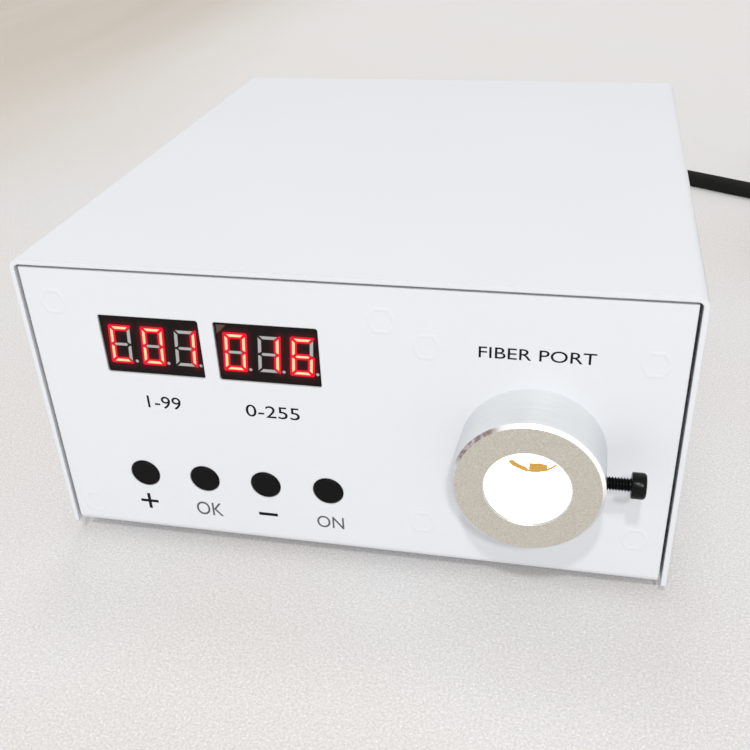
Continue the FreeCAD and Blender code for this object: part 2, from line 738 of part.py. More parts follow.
def make_cover_screws():
    screws = []
    for i, y in enumerate((s.cover_screw_inset, s.case_depth - s.cover_screw_inset)):
        z = base_z + s.cover_screw_rise
        screws.append(screw(f"cover_screw_left_{i}", "x", 1, (-half_width, y, z), s.cover_screw_length))
        screws.append(screw(f"cover_screw_right_{i}", "x", -1, (half_width, y, z), s.cover_screw_length))
    piece("cover_screws", group("cover_screw_set", screws))


# Feet
def foot_spots():
    foot_x = half_width - s.foot_side
    return [(x, y) for x in (-foot_x, foot_x) for y in (s.foot_inset, s.case_depth - s.foot_inset)]


def make_feet():
    feet, screws, nuts = [], [], []
    for i, (x, y) in enumerate(foot_spots()):
        rubber = cone(f"foot_{i}_rubber", "z", (x, y, Size.of(0)), s.foot_height,
                      s.foot_radius - s.foot_taper, s.foot_radius)
        socket = rod(f"foot_{i}_socket", "z", (x, y, Size.of(0)), s.foot_socket + s.screw_head_height,
                     s.screw_head_radius + 2 * s.hole_gap)
        hole = rod(f"foot_{i}_hole", "z", (x, y, Size.of(0)), s.foot_height, s.screw_radius + s.hole_gap)
        feet.append(cut(f"foot_{i}", rubber, fuse(f"foot_{i}_recess", socket, hole)))
        seat = (x, y, s.foot_socket + s.screw_head_height)
        screws.append(screw(f"foot_screw_{i}", "z", 1, seat, floor_z + s.nut_height))
        nuts.append(nut(f"foot_nut_{i}", "z", (x, y, floor_z)))
    piece("rubber_feet", group("foot_set", feet))
    piece("foot_screws", group("foot_screw_set", screws))
    earth_x, earth_y = earth_spot()
    nuts.append(nut("earth_nut", "z", (earth_x, earth_y, floor_z + s.earth_tag_thickness)))
    piece("floor_nuts", group("floor_nut_set", nuts))


# Light port: a turned collar with a clamp screw
def make_collar():
    body = new_body("collar_body")
    profile = sketch_on(body, "collar_profile", "YZ_Plane")
    face = -s.collar_length
    outline(profile, [
        (face, s.port_radius + s.port_lead), (face, s.collar_radius - s.collar_chamfer),
        (face + s.collar_chamfer, s.collar_radius), (0, s.collar_radius),
        (0, s.port_radius), (face + s.port_lead, s.port_radius),
    ])
    revolve(body, "collar_turned", profile)
    clamp = sketch_on(body, "clamp_place", "YZ_Plane")
    circle(clamp, (face + s.clamp_setback, 0), s.screw_radius + s.thread_gap)
    pocket(body, "clamp_thread", clamp, s.collar_radius + BEYOND, backwards=True)
    fixing = sketch_on(body, "fixing_place", "XZ_Plane")
    circle(fixing, (0, s.collar_screw_circle), s.screw_radius + s.thread_gap)
    depth = s.collar_screw_length - s.skin + s.stud_end
    fixing_thread = pocket(body, "fixing_thread", fixing, depth, backwards=True)
    doc.recompute()
    ring_of(body, "fixing_threads", fixing_thread, fixing, 3)
    piece_at("port_collar", body, (port_x, panel_face, port_z))


def collar_screw_spots():
    angles = [math.radians(90 + 120 * i) for i in range(3)]
    circle_radius = s.collar_screw_circle
    return [(port_x + circle_radius * math.cos(a), port_z + circle_radius * math.sin(a)) for a in angles]


def make_collar_screws():
    screws = [screw(f"collar_screw_{i}", "y", -1, (x, panel_back, z), s.collar_screw_length)
              for i, (x, z) in enumerate(collar_screw_spots())]
    piece("collar_screws", group("collar_screw_set", screws))


def make_clamp_screw():
    tip = (clamp_seat - s.clamp_length, clamp_y, port_z)
    seat = (clamp_seat, clamp_y, port_z)
    shank = rod("clamp_shank", "x", tip, s.clamp_length, s.screw_radius)
    head = rod("clamp_head", "x", seat, s.clamp_head_height, s.screw_head_radius)
    socket = hexagon("clamp_socket", "x", along("x", seat, s.clamp_head_height - s.hex_depth),
                     s.hex_depth, s.hex_key)
    piece("clamp_screw", cut("clamp_screw_cut", fuse("clamp_screw_blank", shank, head), socket))


# Lamp: heat sink on four studs behind the port
def lamp_stud_spots():
    return [(port_x + i * s.stud_half, port_z + j * s.stud_half) for i in (-1, 1) for j in (-1, 1)]


def board_stud_spots():
    return [(x, z) for x in (stud_left, stud_right) for z in (stud_low_z, stud_high_z)]


def make_studs():
    lamp_length = s.lamp_space + s.sink_base + s.nut_height + s.stud_end
    board_length = board_back - panel_back + s.nut_height + s.stud_end
    studs, nuts, spacers = [], [], []
    places = [(spot, lamp_length, sink_face, s.sink_base) for spot in lamp_stud_spots()]
    places += [(spot, board_length, board_face, s.board_thickness) for spot in board_stud_spots()]
    for i, ((x, z), length, carried_y, carried_depth) in enumerate(places):
        start = (x, panel_back, z)
        studs.append(rod(f"stud_{i}", "y", start, length, s.screw_radius))
        nuts.append(nut(f"stud_nut_{i}", "y", (x, carried_y + carried_depth, z)))
        bore = s.screw_radius + s.hole_gap
        spacers.append(spacer(f"spacer_{i}", "y", start, carried_y - panel_back, bore))
    piece("panel_studs", group("stud_set", studs))
    piece("stud_nuts", group("stud_nut_set", nuts))
    piece("stud_spacers", group("spacer_set", spacers))


FINS = 9
FINS_BETWEEN_SCREWS = 7  # fin spaces from one row of fan screws to the other, so that each screw finds a gap


def make_heat_sink():
    body = new_body("heat_sink_body")
    half = s.sink_side / 2
    base = sketch_on(body, "sink_base_outline", "XZ_Plane")
    rectangle(base, (-half, -half), (half, half))
    pad(body, "sink_base_plate", base, s.sink_base, backwards=True)
    fin_pitch = s.fan_hole_pitch / FINS_BETWEEN_SCREWS
    fin_x = -fin_pitch * (FINS - 1) / 2
    fin = sketch_on(body, "fin_outline", "XZ_Plane")
    rectangle(fin, (fin_x - s.fin_thickness / 2, -half), (fin_x + s.fin_thickness / 2, half))
    fin_pad = pad(body, "fin", fin, s.sink_base + s.fin_height, backwards=True)
    doc.recompute()
    row_of(body, "fins", fin_pad, fin, FINS, fin_pitch * (FINS - 1))
    holes = sketch_on(body, "sink_holes", "XZ_Plane")
    for i in (-1, 1):
        for j in (-1, 1):
            circle(holes, (i * s.stud_half, j * s.stud_half), s.screw_radius + s.hole_gap)
    pocket(body, "sink_hole_cut", holes, s.sink_base + BEYOND)
    piece_at("heat_sink", body, (port_x, sink_face, port_z))


def make_lamp():
    board_y = sink_face - s.led_board_thickness
    led_y = board_y - s.led_thickness
    phosphor_y = led_y - s.phosphor_thickness
    piece("led_board", rod("led_board_disc", "y", (port_x, board_y, port_z), s.led_board_thickness,
                           s.led_board_radius))
    piece("led_package", rod("led_package_disc", "y", (port_x, led_y, port_z), s.led_thickness,
                             s.led_radius))
    half = s.phosphor_side / 2
    piece("led_phosphor", box("led_phosphor_plate", (port_x - half, phosphor_y, port_z - half),
                              (port_x + half, led_y, port_z + half)))
    body = new_body("reflector_body")
    profile = sketch_on(body, "reflector_profile", "YZ_Plane")
    depth = board_y - panel_back
    throat = s.led_radius + s.hole_gap
    outline(profile, [
        (0, s.port_radius), (0, s.reflector_radius), (depth, s.reflector_radius), (depth, throat),
    ])
    revolve(body, "reflector_turned", profile)
    piece_at("reflector", body, (port_x, panel_back, port_z))


# Fan on the fins' ends
def make_fan_frame():
    half = s.fan_side / 2
    frame = box("fan_block", (port_x - half, fins_end, port_z - half),
                (port_x + half, fan_end, port_z + half))
    start = (port_x, fins_end, port_z)
    bore = rod("fan_bore", "y", start, s.fan_depth, s.fan_bore_radius)
    reach = s.fan_hole_pitch / 2
    holes = [rod(f"fan_hole_{i}{j}", "y", (port_x + i * reach, fins_end, port_z + j * reach),
                 s.fan_depth, s.screw_radius + s.hole_gap) for i in (-1, 1) for j in (-1, 1)]
    drilled = cut("fan_drilled", frame, bore, *holes)
    plate_y = fan_end - s.hub_wall
    plate = rod("fan_motor_plate", "y", (port_x, plate_y, port_z), s.hub_wall, s.hub_radius)
    arm = s.hub_wall
    across = box("fan_arm_across", (port_x - half, plate_y, port_z - arm),
                 (port_x + half, fan_end, port_z + arm))
    upright = box("fan_arm_upright", (port_x - arm, plate_y, port_z - half),
                  (port_x + arm, fan_end, port_z + half))
    sleeve_y = fan_end - s.sleeve_length
    sleeve = rod("fan_sleeve", "y", (port_x, sleeve_y, port_z), s.sleeve_length, s.sleeve_radius)
    solid = fuse("fan_frame_solid", drilled, plate, across, upright, sleeve)
    bearing = rod("fan_bearing", "y", (port_x, sleeve_y, port_z), s.sleeve_length,
                  s.shaft_radius + s.running_gap)
    piece("fan_frame", cut("fan_frame_cut", solid, bearing))


TIP_SHARE = 0.96  # of the room for a blade, so that its corners clear the air passage


def blade_section(front, back, half):
    """A slanting strip from the cup's front to its back."""
    thick = s.vane_thickness
    return [(front, -half), (front + thick, -half), (back, half), (back - thick, half)]


def make_fan_rotor():
    body = new_body("fan_rotor_body")
    profile = sketch_on(body, "rotor_profile", "YZ_Plane")
    front = s.hub_wall / 2
    back = s.fan_depth - s.hub_wall * 1.5
    inner = s.hub_radius - s.hub_wall
    outline(profile, [
        (front, 0), (front, s.hub_radius - s.hub_wall / 2), (front + s.hub_wall / 2, s.hub_radius),
        (back, s.hub_radius), (back, inner), (front + s.hub_wall, inner),
        (front + s.hub_wall, s.shaft_radius), (s.fan_depth - s.hub_wall / 2, s.shaft_radius),
        (s.fan_depth - s.hub_wall / 2, 0),
    ])
    revolve(body, "rotor_hub", profile)
    root = sketch_on(body, "blade_root", "YZ_Plane", offset=s.hub_radius - s.hub_wall + s.vane_root)
    outline(root, blade_section(front + s.vane_root_inset, back - s.vane_root_inset, s.vane_root_half))
    reach = (s.fan_bore_radius - s.fan_tip_gap) * TIP_SHARE
    tip = sketch_on(body, "blade_tip", "YZ_Plane", offset=reach)
    outline(tip, blade_section(front + s.vane_tip_inset, back - s.vane_tip_inset, s.vane_tip_half))
    loft = body.newObject("PartDesign::AdditiveLoft", "blade")
    loft.Profile = root
    loft.Sections = [tip]
    loft.Ruled = True
    doc.recompute()
    ring_of(body, "blades", loft, profile, 7, axis="H_Axis")
    piece_at("fan_rotor", body, (port_x, fins_end, port_z))


def make_fan_motor():
    start = (port_x, fins_end + s.motor_start, port_z)
    coil = rod("fan_motor_coil", "y", start, s.motor_length, s.hub_radius - s.hub_wall - s.motor_gap)
    bore = rod("fan_motor_bore", "y", start, s.motor_length, s.sleeve_radius + s.running_gap)
    piece("fan_motor", cut("fan_motor_ring", coil, bore))


def make_fan_screws():
    reach = s.fan_hole_pitch / 2
    screws = [screw(f"fan_screw_{i}{j}", "y", -1, (port_x + i * reach, fan_end, port_z + j * reach),
                    s.fan_screw_length) for i in (-1, 1) for j in (-1, 1)]
    piece("fan_screws", group("fan_screw_set", screws))


# Front board with two displays and four keys
SEGMENTS = "abcdefg"
LIT = {"left": ["adef", "abcdef", "bc"], "right": ["abcdef", "bc", "acdefg"]}


def digit_segments(centre_x, face_y):
    """The seven segments of one digit as prisms let into the display's face, by letter."""
    half_w = float(s.digit_width) / 2
    half_h = float(s.digit_height) / 2
    thick = float(s.segment_width)
    play = float(s.segment_gap) / 2
    depth = float(s.segment_depth)

    def prism(points):
        lean = float(s.digit_slant)
        spots = [Vector(centre_x + u + lean * v, face_y, float(display_z) + v) for u, v in points]
        return Part.Face(Part.makePolygon(spots + spots[:1])).extrude(Vector(0, depth, 0))

    def bar(outer, inner):
        """A segment along the top or bottom: long outside, short inside."""
        reach = half_w - play * 2
        return prism([(-reach, outer), (reach, outer), (reach - thick, inner), (thick - reach, inner)])

    def post(outer, inner, end):
        """An upright segment between the middle and the top (1) or the bottom (-1)."""
        spots = [(outer, play * 2), (outer, half_h - play * 2), (inner, half_h - play * 2 - thick)]
        spots += [(inner, thick / 2 + play), ((outer + inner) / 2, play * 2)]
        return prism([(u, v * end) for u, v in spots[::end]])

    half_bar = thick / 2
    middle = half_w - half_bar - play * 2
    rise = half_bar - play / 2
    shapes = {
        "a": bar(half_h, half_h - thick),
        "d": bar(-half_h, thick - half_h),
        "b": post(half_w, half_w - thick, 1),
        "c": post(half_w, half_w - thick, -1),
        "f": post(-half_w, thick - half_w, 1),
        "e": post(-half_w, thick - half_w, -1),
        "g": prism([
            (-middle, 0), (half_bar - middle, rise), (middle - half_bar, rise),
            (middle, 0), (middle - half_bar, -rise), (half_bar - middle, -rise),
        ]),
    }
    return shapes


def make_displays():
    lit, dark = [], []
    face_y = panel_face + s.display_recess
    for side, centre in (("left", s.display_left), ("right", s.display_right)):
        half_w = s.display_width / 2
        half_h = s.display_height / 2
        block = box(f"display_{side}_block", (centre - half_w, face_y, display_z - half_h),
                    (centre + half_w, board_face, display_z + half_h))
        shapes = []
        for i, letters in enumerate(LIT[side]):
            digit_x = float(centre + s.digit_pitch * (i - 1) + s.digit_shift)
            segments = digit_segments(digit_x, float(face_y))
            lit += [segments[letter] for letter in letters]
            dark += [segments[letter] for letter in SEGMENTS if letter not in letters]
            point_z = float(display_z - s.digit_height / 2 + s.point_radius)
            spot = Vector(digit_x + float(s.point_shift), float(face_y), point_z)
            point = Part.makeCylinder(float(s.point_radius), float(s.segment_depth), spot, Vector(0, 1, 0))
            dark.append(point)
            shapes += list(segments.values()) + [point]
        recess = doc.addObject("Part::Feature", f"display_{side}_recess")
        recess.Shape = Part.makeCompound(shapes)
        piece(f"display_{side}", cut(f"display_{side}_cut", block, recess))
    for label, shapes in (("display_lit_segments", lit), ("display_dark_segments", dark)):
        together = Part.makeCompound(shapes)
        together.translate(Vector(0, float(shift_y), 0))
        shaped_piece(label, together)


def make_control_board():
    low = (stud_left - s.board_margin, board_face, stud_low_z - s.board_margin)
    high = (board_right, board_back, stud_high_z + s.board_margin)
    board = box("control_board_blank", low, high)
    holes = [rod(f"board_hole_{i}", "y", (x, board_face, z), s.board_thickness, s.screw_radius + s.hole_gap)
             for i, (x, z) in enumerate(board_stud_spots())]
    piece("control_board", cut("control_board_cut", board, *holes))
    half = s.chip_side / 2
    chip = box("control_chip_block", (s.display_left - half, board_back, key_z + s.chip_rise - half),
               (s.display_left + half, board_back + s.chip_thickness, key_z + s.chip_rise + half))
    piece("control_chip", chip)
    x, z = s.display_right, key_z + s.header_rise
    half_w, half_h, wall = s.header_width / 2, s.header_height / 2, s.header_wall
    back = board_back + s.header_depth
    header = box("ribbon_header_block", (x - half_w, board_back, z - half_h), (x + half_w, back, z + half_h))
    in_w, in_h = half_w - s.header_side, half_h - s.header_side
    slot = box("ribbon_header_slot", (x - in_w, board_back + wall, z - in_h), (x + in_w, back, z + in_h))
    piece("board_header", cut("board_header_cut", header, slot))


KEYS = ["plus", "ok", "minus", "on"]


def make_keys():
    bodies = []
    switch_face = board_face - s.switch_depth
    stem_end = panel_face + s.key_thickness - s.key_proud + s.key_stem_length
    well_depth = stem_end + s.key_travel + s.stem_gap - switch_face
    for i, key in enumerate(KEYS):
        x = s.key_first + s.key_pitch * i
        half = s.switch_side / 2
        block = box(f"switch_{key}_block", (x - half, switch_face, key_z - half),
                    (x + half, board_face, key_z + half))
        well = rod(f"switch_{key}_well", "y", (x, switch_face, key_z), well_depth,
                   s.key_stem_radius + s.key_gap)
        bodies.append(cut(f"switch_{key}", block, well))
        body = new_body(f"{key}_key_body")
        profile = sketch_on(body, f"{key}_key_profile", "YZ_Plane")
        front = -s.key_proud
        back = s.key_thickness - s.key_proud
        edge = s.key_proud
        outline(profile, [
            (front, 0), (front, s.key_radius - edge), (front + edge, s.key_radius), (back, s.key_radius),
            (back, s.key_stem_radius), (back + s.key_stem_length, s.key_stem_radius),
            (back + s.key_stem_length, 0),
        ])
        revolve(body, f"{key}_key_turned", profile)
        piece_at(f"{key}_key", body, (x, panel_face, key_z))
    piece("key_switches", group("key_switch_set", bodies))


# Power supply on the floor
def supply_spots():
    margin = s.supply_margin
    right = supply_left + s.supply_width - margin
    rear = supply_front + s.supply_length - margin
    return [(x, y) for x in (supply_left + margin, right) for y in (supply_front + margin, rear)]


def make_supply_board():
    low = (supply_left, supply_front, supply_z)
    high = (supply_left + s.supply_width, supply_front + s.supply_length, supply_top)
    board = box("supply_board_blank", low, high)
    holes, spacers, screws = [], [], []
    for i, (x, y) in enumerate(supply_spots()):
        holes.append(rod(f"supply_hole_{i}", "z", (x, y, supply_z), s.board_thickness,
                         s.screw_radius + s.hole_gap))
        bore = s.screw_radius + s.thread_gap
        spacers.append(spacer(f"supply_spacer_{i}", "z", (x, y, floor_z), s.supply_lift, bore))
        screws.append(screw(f"supply_screw_{i}", "z", -1, (x, y, supply_top),
                            s.board_thickness + s.supply_grip))
    piece("supply_board", cut("supply_board_cut", board, *holes))
    piece("supply_spacers", group("supply_spacer_set", spacers))
    piece("supply_screws", group("supply_screw_set", screws))


def on_supply(x, y, z=0.0):
    """A spot on the supply board, counted from its left front corner."""
    return (supply_left + x, supply_front + y, supply_top + z)


def make_transformer():
    x, y = s.transformer_x, s.transformer_y
    end_x, end_y = x + s.transformer_width, y + s.transformer_length
    leg = s.transformer_leg
    iron = box("transformer_iron", on_supply(x, y), on_supply(end_x, end_y, s.transformer_height))
    low = on_supply(x + leg, y - BEYOND, leg)
    high = on_supply(end_x - leg, end_y + BEYOND, s.transformer_height - leg)
    piece("transformer_core", cut("transformer_core_cut", iron, box("transformer_window", low, high)))
    over = s.winding_overhang
    winding = box("transformer_winding", on_supply(x + leg, y - over, leg),
                  on_supply(end_x - leg, end_y + over, s.transformer_height - leg))
    middle = on_supply(x + s.transformer_width / 2, y - over, s.transformer_height / 2)
    spool = rod("transformer_spool", "y", middle, s.transformer_length + over * 2, s.spool_radius)
    piece("transformer_coil", cut("transformer_coil_cut", winding, spool))


def make_capacitors():
    spot = on_supply(s.mains_can_x, s.mains_can_y)
    piece("mains_capacitor", rod("mains_can", "z", spot, s.mains_can_height, s.mains_can_radius))
    cans = [rod(f"output_can_{i}", "z", on_supply(s.output_can_x + s.output_can_pitch * i, s.output_can_y),
                s.output_can_height, s.output_can_radius) for i in range(3)]
    piece("output_capacitors", group("output_can_set", cans))


WAYS = 3


def make_terminals():
    blocks = []
    places = {"mains": (s.mains_terminal_x, s.mains_terminal_y),
              "output": (s.output_terminal_x, s.output_terminal_y)}
    for label, (x, y) in places.items():
        body = box(f"{label}_terminal_body", on_supply(x, y),
                   on_supply(x + s.terminal_pitch * (WAYS - 1) + s.terminal_side * 2, y + s.terminal_depth,
                             s.terminal_height))
        way_x, way_y, way_z = terminal_way(x, y)
        ways = [rod(f"{label}_terminal_way_{i}", "z", (way_x + s.terminal_pitch * i, way_y, way_z),
                    s.terminal_way_depth, s.terminal_way_radius) for i in range(WAYS)]
        blocks.append(cut(f"{label}_terminal", body, *ways))
    piece("terminal_blocks", group("terminal_set", blocks))


def make_fuse():
    x, y, z = on_supply(s.fuse_x, s.fuse_y, s.fuse_rise)
    piece("fuse", rod("fuse_tube", "x", (x, y, z), s.fuse_length, s.fuse_radius))
    half = s.fuse_radius + s.clip_wall
    mouth_half = s.clip_mouth_half
    clips = []
    last_clip = x + s.fuse_length - s.clip_inset - s.clip_width
    for i, start in enumerate((x + s.clip_inset, last_clip)):
        end = start + s.clip_width
        body = box(f"fuse_clip_body_{i}", (start, y - half, supply_top), (end, y + half, z + half))
        throat = rod(f"fuse_clip_throat_{i}", "x", (start, y, z), s.clip_width, s.fuse_radius + s.thread_gap)
        mouth = box(f"fuse_clip_mouth_{i}", (start, y - mouth_half, z), (end, y + mouth_half, z + half))
        clips.append(cut(f"fuse_clip_{i}", body, fuse(f"fuse_clip_tool_{i}", throat, mouth)))
    piece("fuse_clips", group("fuse_clip_set", clips))


def make_switching():
    """The supply's transistor, upright against its cooling plate."""
    x, y = s.cooler_x, s.cooler_y
    plate = box("cooler_plate", on_supply(x, y), on_supply(x + s.cooler_thickness, y + s.cooler_length,
                                                          s.cooler_height))
    piece("supply_cooler", plate)
    start_y = y + s.transistor_setback
    case = box("transistor_case", on_supply(x - s.transistor_thickness, start_y, s.transistor_rise),
               on_supply(x, start_y + s.transistor_width, s.transistor_rise + s.transistor_height))
    piece("supply_transistor", case)


# Wires inside the case
def lead(route, radius):
    """One insulated wire through spots counted from the case's front edge."""
    points = [Vector(*(float(size) for size in spot)) + Vector(0, float(shift_y), 0) for spot in route]
    edges, _ = rounded_path(points)
    return swept(edges, radius)[0]


def stepped(spot, x, y, z):
    """The spot moved by whole or part steps along each axis."""
    return tuple(size + count * s.lead_step for size, count in zip(spot, (x, y, z)))


def make_mains_leads():
    """Two wires from the cord to the power switch, two on to the supply board, and the earth wire."""
    wire = float(s.mains_wire_radius)
    cord = (gland_x, rear_inside - s.gland_inside, gland_z)
    tab_y = rear_inside - s.housing_depth - s.tab_length
    tabs = [(rocker_x + s.tab_first + s.tab_pitch * i, tab_y, rocker_z) for i in range(4)]
    way = terminal_way(s.mains_terminal_x, s.mains_terminal_y)
    next_way = along("x", way, s.terminal_pitch)
    live_in = [
        stepped(cord, 0, 0, 2), stepped(cord, 0, -10, 2), stepped(cord, 4, -17, 14.5),
        stepped(tabs[0], -7.4, -14, 0), stepped(tabs[0], 0, -14, 0), tabs[0],
    ]
    neutral_in = [
        stepped(cord, -1.7, 0, -1), stepped(cord, -1.7, -9, -1), stepped(cord, -4, -17, 20),
        stepped(tabs[3], -23.9, -18, 6.5), stepped(tabs[3], 0, -20, 6.5),
        stepped(tabs[3], 0, -12, 0), tabs[3],
    ]
    live_out = [
        tabs[1], stepped(tabs[1], 0, -9, 0), stepped(tabs[1], -1, -9, -6.5),
        stepped(tabs[1], -12, -8, -12.5), stepped(way, 0, 0, 12), way,
    ]
    neutral_out = [
        tabs[2], stepped(tabs[2], 0, -12.4, 0), stepped(tabs[2], -1, -12.4, -7.5),
        stepped(tabs[2], -11.4, -12, -17.5), stepped(next_way, 0, 0, 8), next_way,
    ]
    routes = (live_in, neutral_in, live_out, neutral_out)
    shaped_piece("mains_leads", Part.makeCompound([lead(route, wire) for route in routes]))
    earth_x, earth_y = earth_spot()
    tag = (earth_x + s.earth_reach, earth_y, floor_z + s.earth_tag_thickness)
    shaped_piece("earth_lead", lead([
        stepped(cord, 1.7, 0, -1), stepped(cord, 1.7, -6, -1), stepped(tag, -9.4, -2, 11.5),
        stepped(tag, 0, 0, 10.5), tag,
    ], wire))


def make_signal_leads():
    """Thin sleeved cables that end in the header on the back of the front board."""
    wire = float(s.signal_wire_radius)
    middle = (s.display_right, board_back + s.header_wall, key_z + s.header_rise)
    first = along("x", middle, -s.header_pitch)
    last = along("x", middle, s.header_pitch)
    way = terminal_way(s.output_terminal_x, s.output_terminal_y)
    shaped_piece("supply_lead", lead([
        way, stepped(way, 0, 0, 12), stepped(way, 8, -16, 17.4), stepped(first, 0, 17, 0), first,
    ], wire))
    edge = (port_x - s.led_board_radius, sink_face - s.led_board_thickness / 2, port_z)
    slot = (board_right + s.board_clearance / 2, sink_face - s.led_board_thickness / 2, port_z)
    shaped_piece("lamp_lead", lead([
        stepped(edge, 0, -0.4, 0), stepped(slot, 3, -0.7, 0), stepped(slot, 0, -0.7, 0),
        stepped(slot, 0, 12, 0),
        stepped(middle, 12, 18, 3), stepped(middle, 0, 18, 0), middle,
    ], wire))
    fan_edge = (port_x - s.fan_side / 2, fan_end, port_z)
    shaped_piece("fan_lead", lead([
        stepped(fan_edge, 0, -3, -8), stepped(fan_edge, -11, -3, -8),
        stepped(last, 7, 14, -4.7), stepped(last, 0, 10, 0), last,
    ], wire))


def terminal_way(x, y):
    """The bottom of a terminal block's first wire way."""
    bottom = s.terminal_height - s.terminal_way_depth
    return on_supply(x + s.terminal_side, y + s.terminal_depth / 2, bottom)


def earth_spot():
    return gland_x + s.earth_side, rear_inside - s.earth_inset


def make_earth_point():
    x, y = earth_spot()
    spot = (x, y, floor_z)
    thick = s.earth_tag_thickness
    piece("earth_stud", rod("earth_stud_rod", "z", spot, s.earth_stud_length, s.screw_radius))
    ring = rod("earth_ring", "z", spot, thick, s.earth_ring_radius)
    tongue = box("earth_tongue", (x, y - s.earth_tag_half, floor_z),
                 (x + s.earth_reach + s.earth_tag_half, y + s.earth_tag_half, floor_z + thick))
    hole = rod("earth_hole", "z", spot, thick, s.screw_radius + s.thread_gap)
    piece("earth_tag", cut("earth_tag_cut", fuse("earth_tag_blank", ring, tongue), hole))


# Rear panel: power switch and cord gland
def make_rocker():
    width = s.housing_width / 2
    height = s.housing_height / 2
    x, z = rocker_x, rocker_z
    bezel = box("bezel_plate", (x - s.bezel_width / 2, rear_face, z - s.bezel_height / 2),
                (x + s.bezel_width / 2, rear_face + s.bezel_depth, z + s.bezel_height / 2))
    housing = box("housing_block", (x - width, rear_inside - s.housing_depth, z - height),
                  (x + width, rear_face, z + height))
    blank = fuse("rocker_housing_blank", bezel, housing)
    room = s.rocker_half + s.rocker_swing + s.key_gap
    side = s.rocker_width / 2 + s.key_gap
    well = box("rocker_well", (x - side, pivot_y - s.rocker_half, z - room),
               (x + side, rear_face + s.bezel_depth, z + room))
    pin_room = side + s.pivot_length + s.hole_gap
    bearing = rod("rocker_bearing", "x", (x - pin_room, pivot_y, z), pin_room * 2,
                  s.pivot_radius + s.running_gap)
    tabs = []
    for i in range(4):
        tab_x = x + s.tab_first + s.tab_pitch * i
        low = (tab_x - s.tab_thickness / 2, rear_inside - s.housing_depth - s.tab_length, z - s.tab_half)
        high = (tab_x + s.tab_thickness / 2, rear_inside - s.housing_depth, z + s.tab_half)
        tabs.append(box(f"switch_tab_{i}", low, high))
    piece("rocker_housing", cut("rocker_housing_cut", blank, fuse("rocker_room", well, bearing)))
    piece("switch_tabs", group("switch_tab_set", tabs))
    body = new_body("rocker_body")
    profile = sketch_on(body, "rocker_profile", "YZ_Plane")
    outline(profile, [
        (s.rocker_face, s.rocker_half), (s.rocker_dip, 0), (s.rocker_face, -s.rocker_half),
        (s.rocker_face - s.rocker_flank, -s.rocker_half), (-s.rocker_face, -s.rocker_half / 2),
        (-s.rocker_face, s.rocker_half / 2), (s.rocker_face - s.rocker_flank, s.rocker_half),
    ])
    pad(body, "rocker_block", profile, s.rocker_width, midplane=True)
    pins = sketch_on(body, "rocker_pin_place", "YZ_Plane")
    circle(pins, (0, 0), s.pivot_radius)
    pad(body, "rocker_pins", pins, s.rocker_width + (s.key_gap + s.pivot_length) * 2, midplane=True)
    body.Placement.Rotation = FreeCAD.Rotation(Vector(1, 0, 0), float(s.rocker_tilt))
    bind(body, "Placement.Rotation.Angle", s.rocker_tilt)
    piece_at("rocker", body, (x, pivot_y, z))


GROOVES = 4


def make_gland():
    body = new_body("gland_body")
    profile = sketch_on(body, "gland_profile", "YZ_Plane")
    rim, edge = s.gland_rim, s.gland_edge
    end = rim + s.gland_length
    tip = s.cord_radius + s.sleeve_wall
    inside = -s.skin - s.gland_inside
    outline(profile, [
        (inside, 0), (inside, s.gland_radius - edge), (inside + edge, s.gland_radius),
        (0, s.gland_radius), (0, s.gland_flange), (rim - edge, s.gland_flange), (rim, s.gland_flange - edge),
        (rim, s.gland_radius), (end, tip), (end, 0),
    ])
    revolve(body, "gland_moulded", profile)
    groove = sketch_on(body, "gland_groove", "YZ_Plane")
    step = s.gland_length / (GROOVES + 2)
    rectangle(groove, (rim + step, tip), (rim + step + s.groove_width, s.gland_radius + BEYOND))
    ring = body.newObject("PartDesign::Groove", "gland_groove_cut")
    ring.Profile = groove
    ring.ReferenceAxis = (groove, ["H_Axis"])
    ring.Angle = 360.0
    doc.recompute()
    row_of(body, "gland_grooves", ring, groove, GROOVES, step * (GROOVES - 1))
    piece_at("cord_gland", body, (gland_x, rear_face, gland_z))


# Mains cord, in the part's own frame: a free stretch on the bench, a coil and a plug
CORD_ROUTE = [
    (-50.0, 140.0, 21.5),
    (-47.0, 163.0, 12.0),
    (-40.0, 187.0, 3.35),
    (-22.0, 212.0, 3.35),
    (6.0, 231.0, 3.35),
    (42.0, 232.0, 3.35),
    (84.0, 214.1, 3.35),
    (131.0, 186.2, 3.35),
    (158.0, 178.0, 3.35),
    (182.0, 178.0, 3.35),
]
TURNS_IN = 5
TURNS_OUT = 4


def swept(edges, radius):
    """A round cord along edges that join smoothly, with its length."""
    path = Part.Wire(edges)
    start = edges[0].firstVertex().Point
    way = edges[0].tangentAt(edges[0].FirstParameter)
    section = Part.Wire(Part.Circle(start, way, radius).toShape())
    solid = path.makePipeShell([section], True, False)
    return solid, path.Length


def swept_cord(edges):
    solid, length = swept(edges, float(s.cord_radius))
    full = math.pi * float(s.cord_radius) ** 2 * length
    print(f"cord stretch {length:.1f} mm, volume over section times length {solid.Volume / full:.5f}")
    return solid, length


def gland_end():
    return Vector(float(gland_x), float(rear_face + s.gland_rim + s.gland_length + shift_y), float(gland_z))


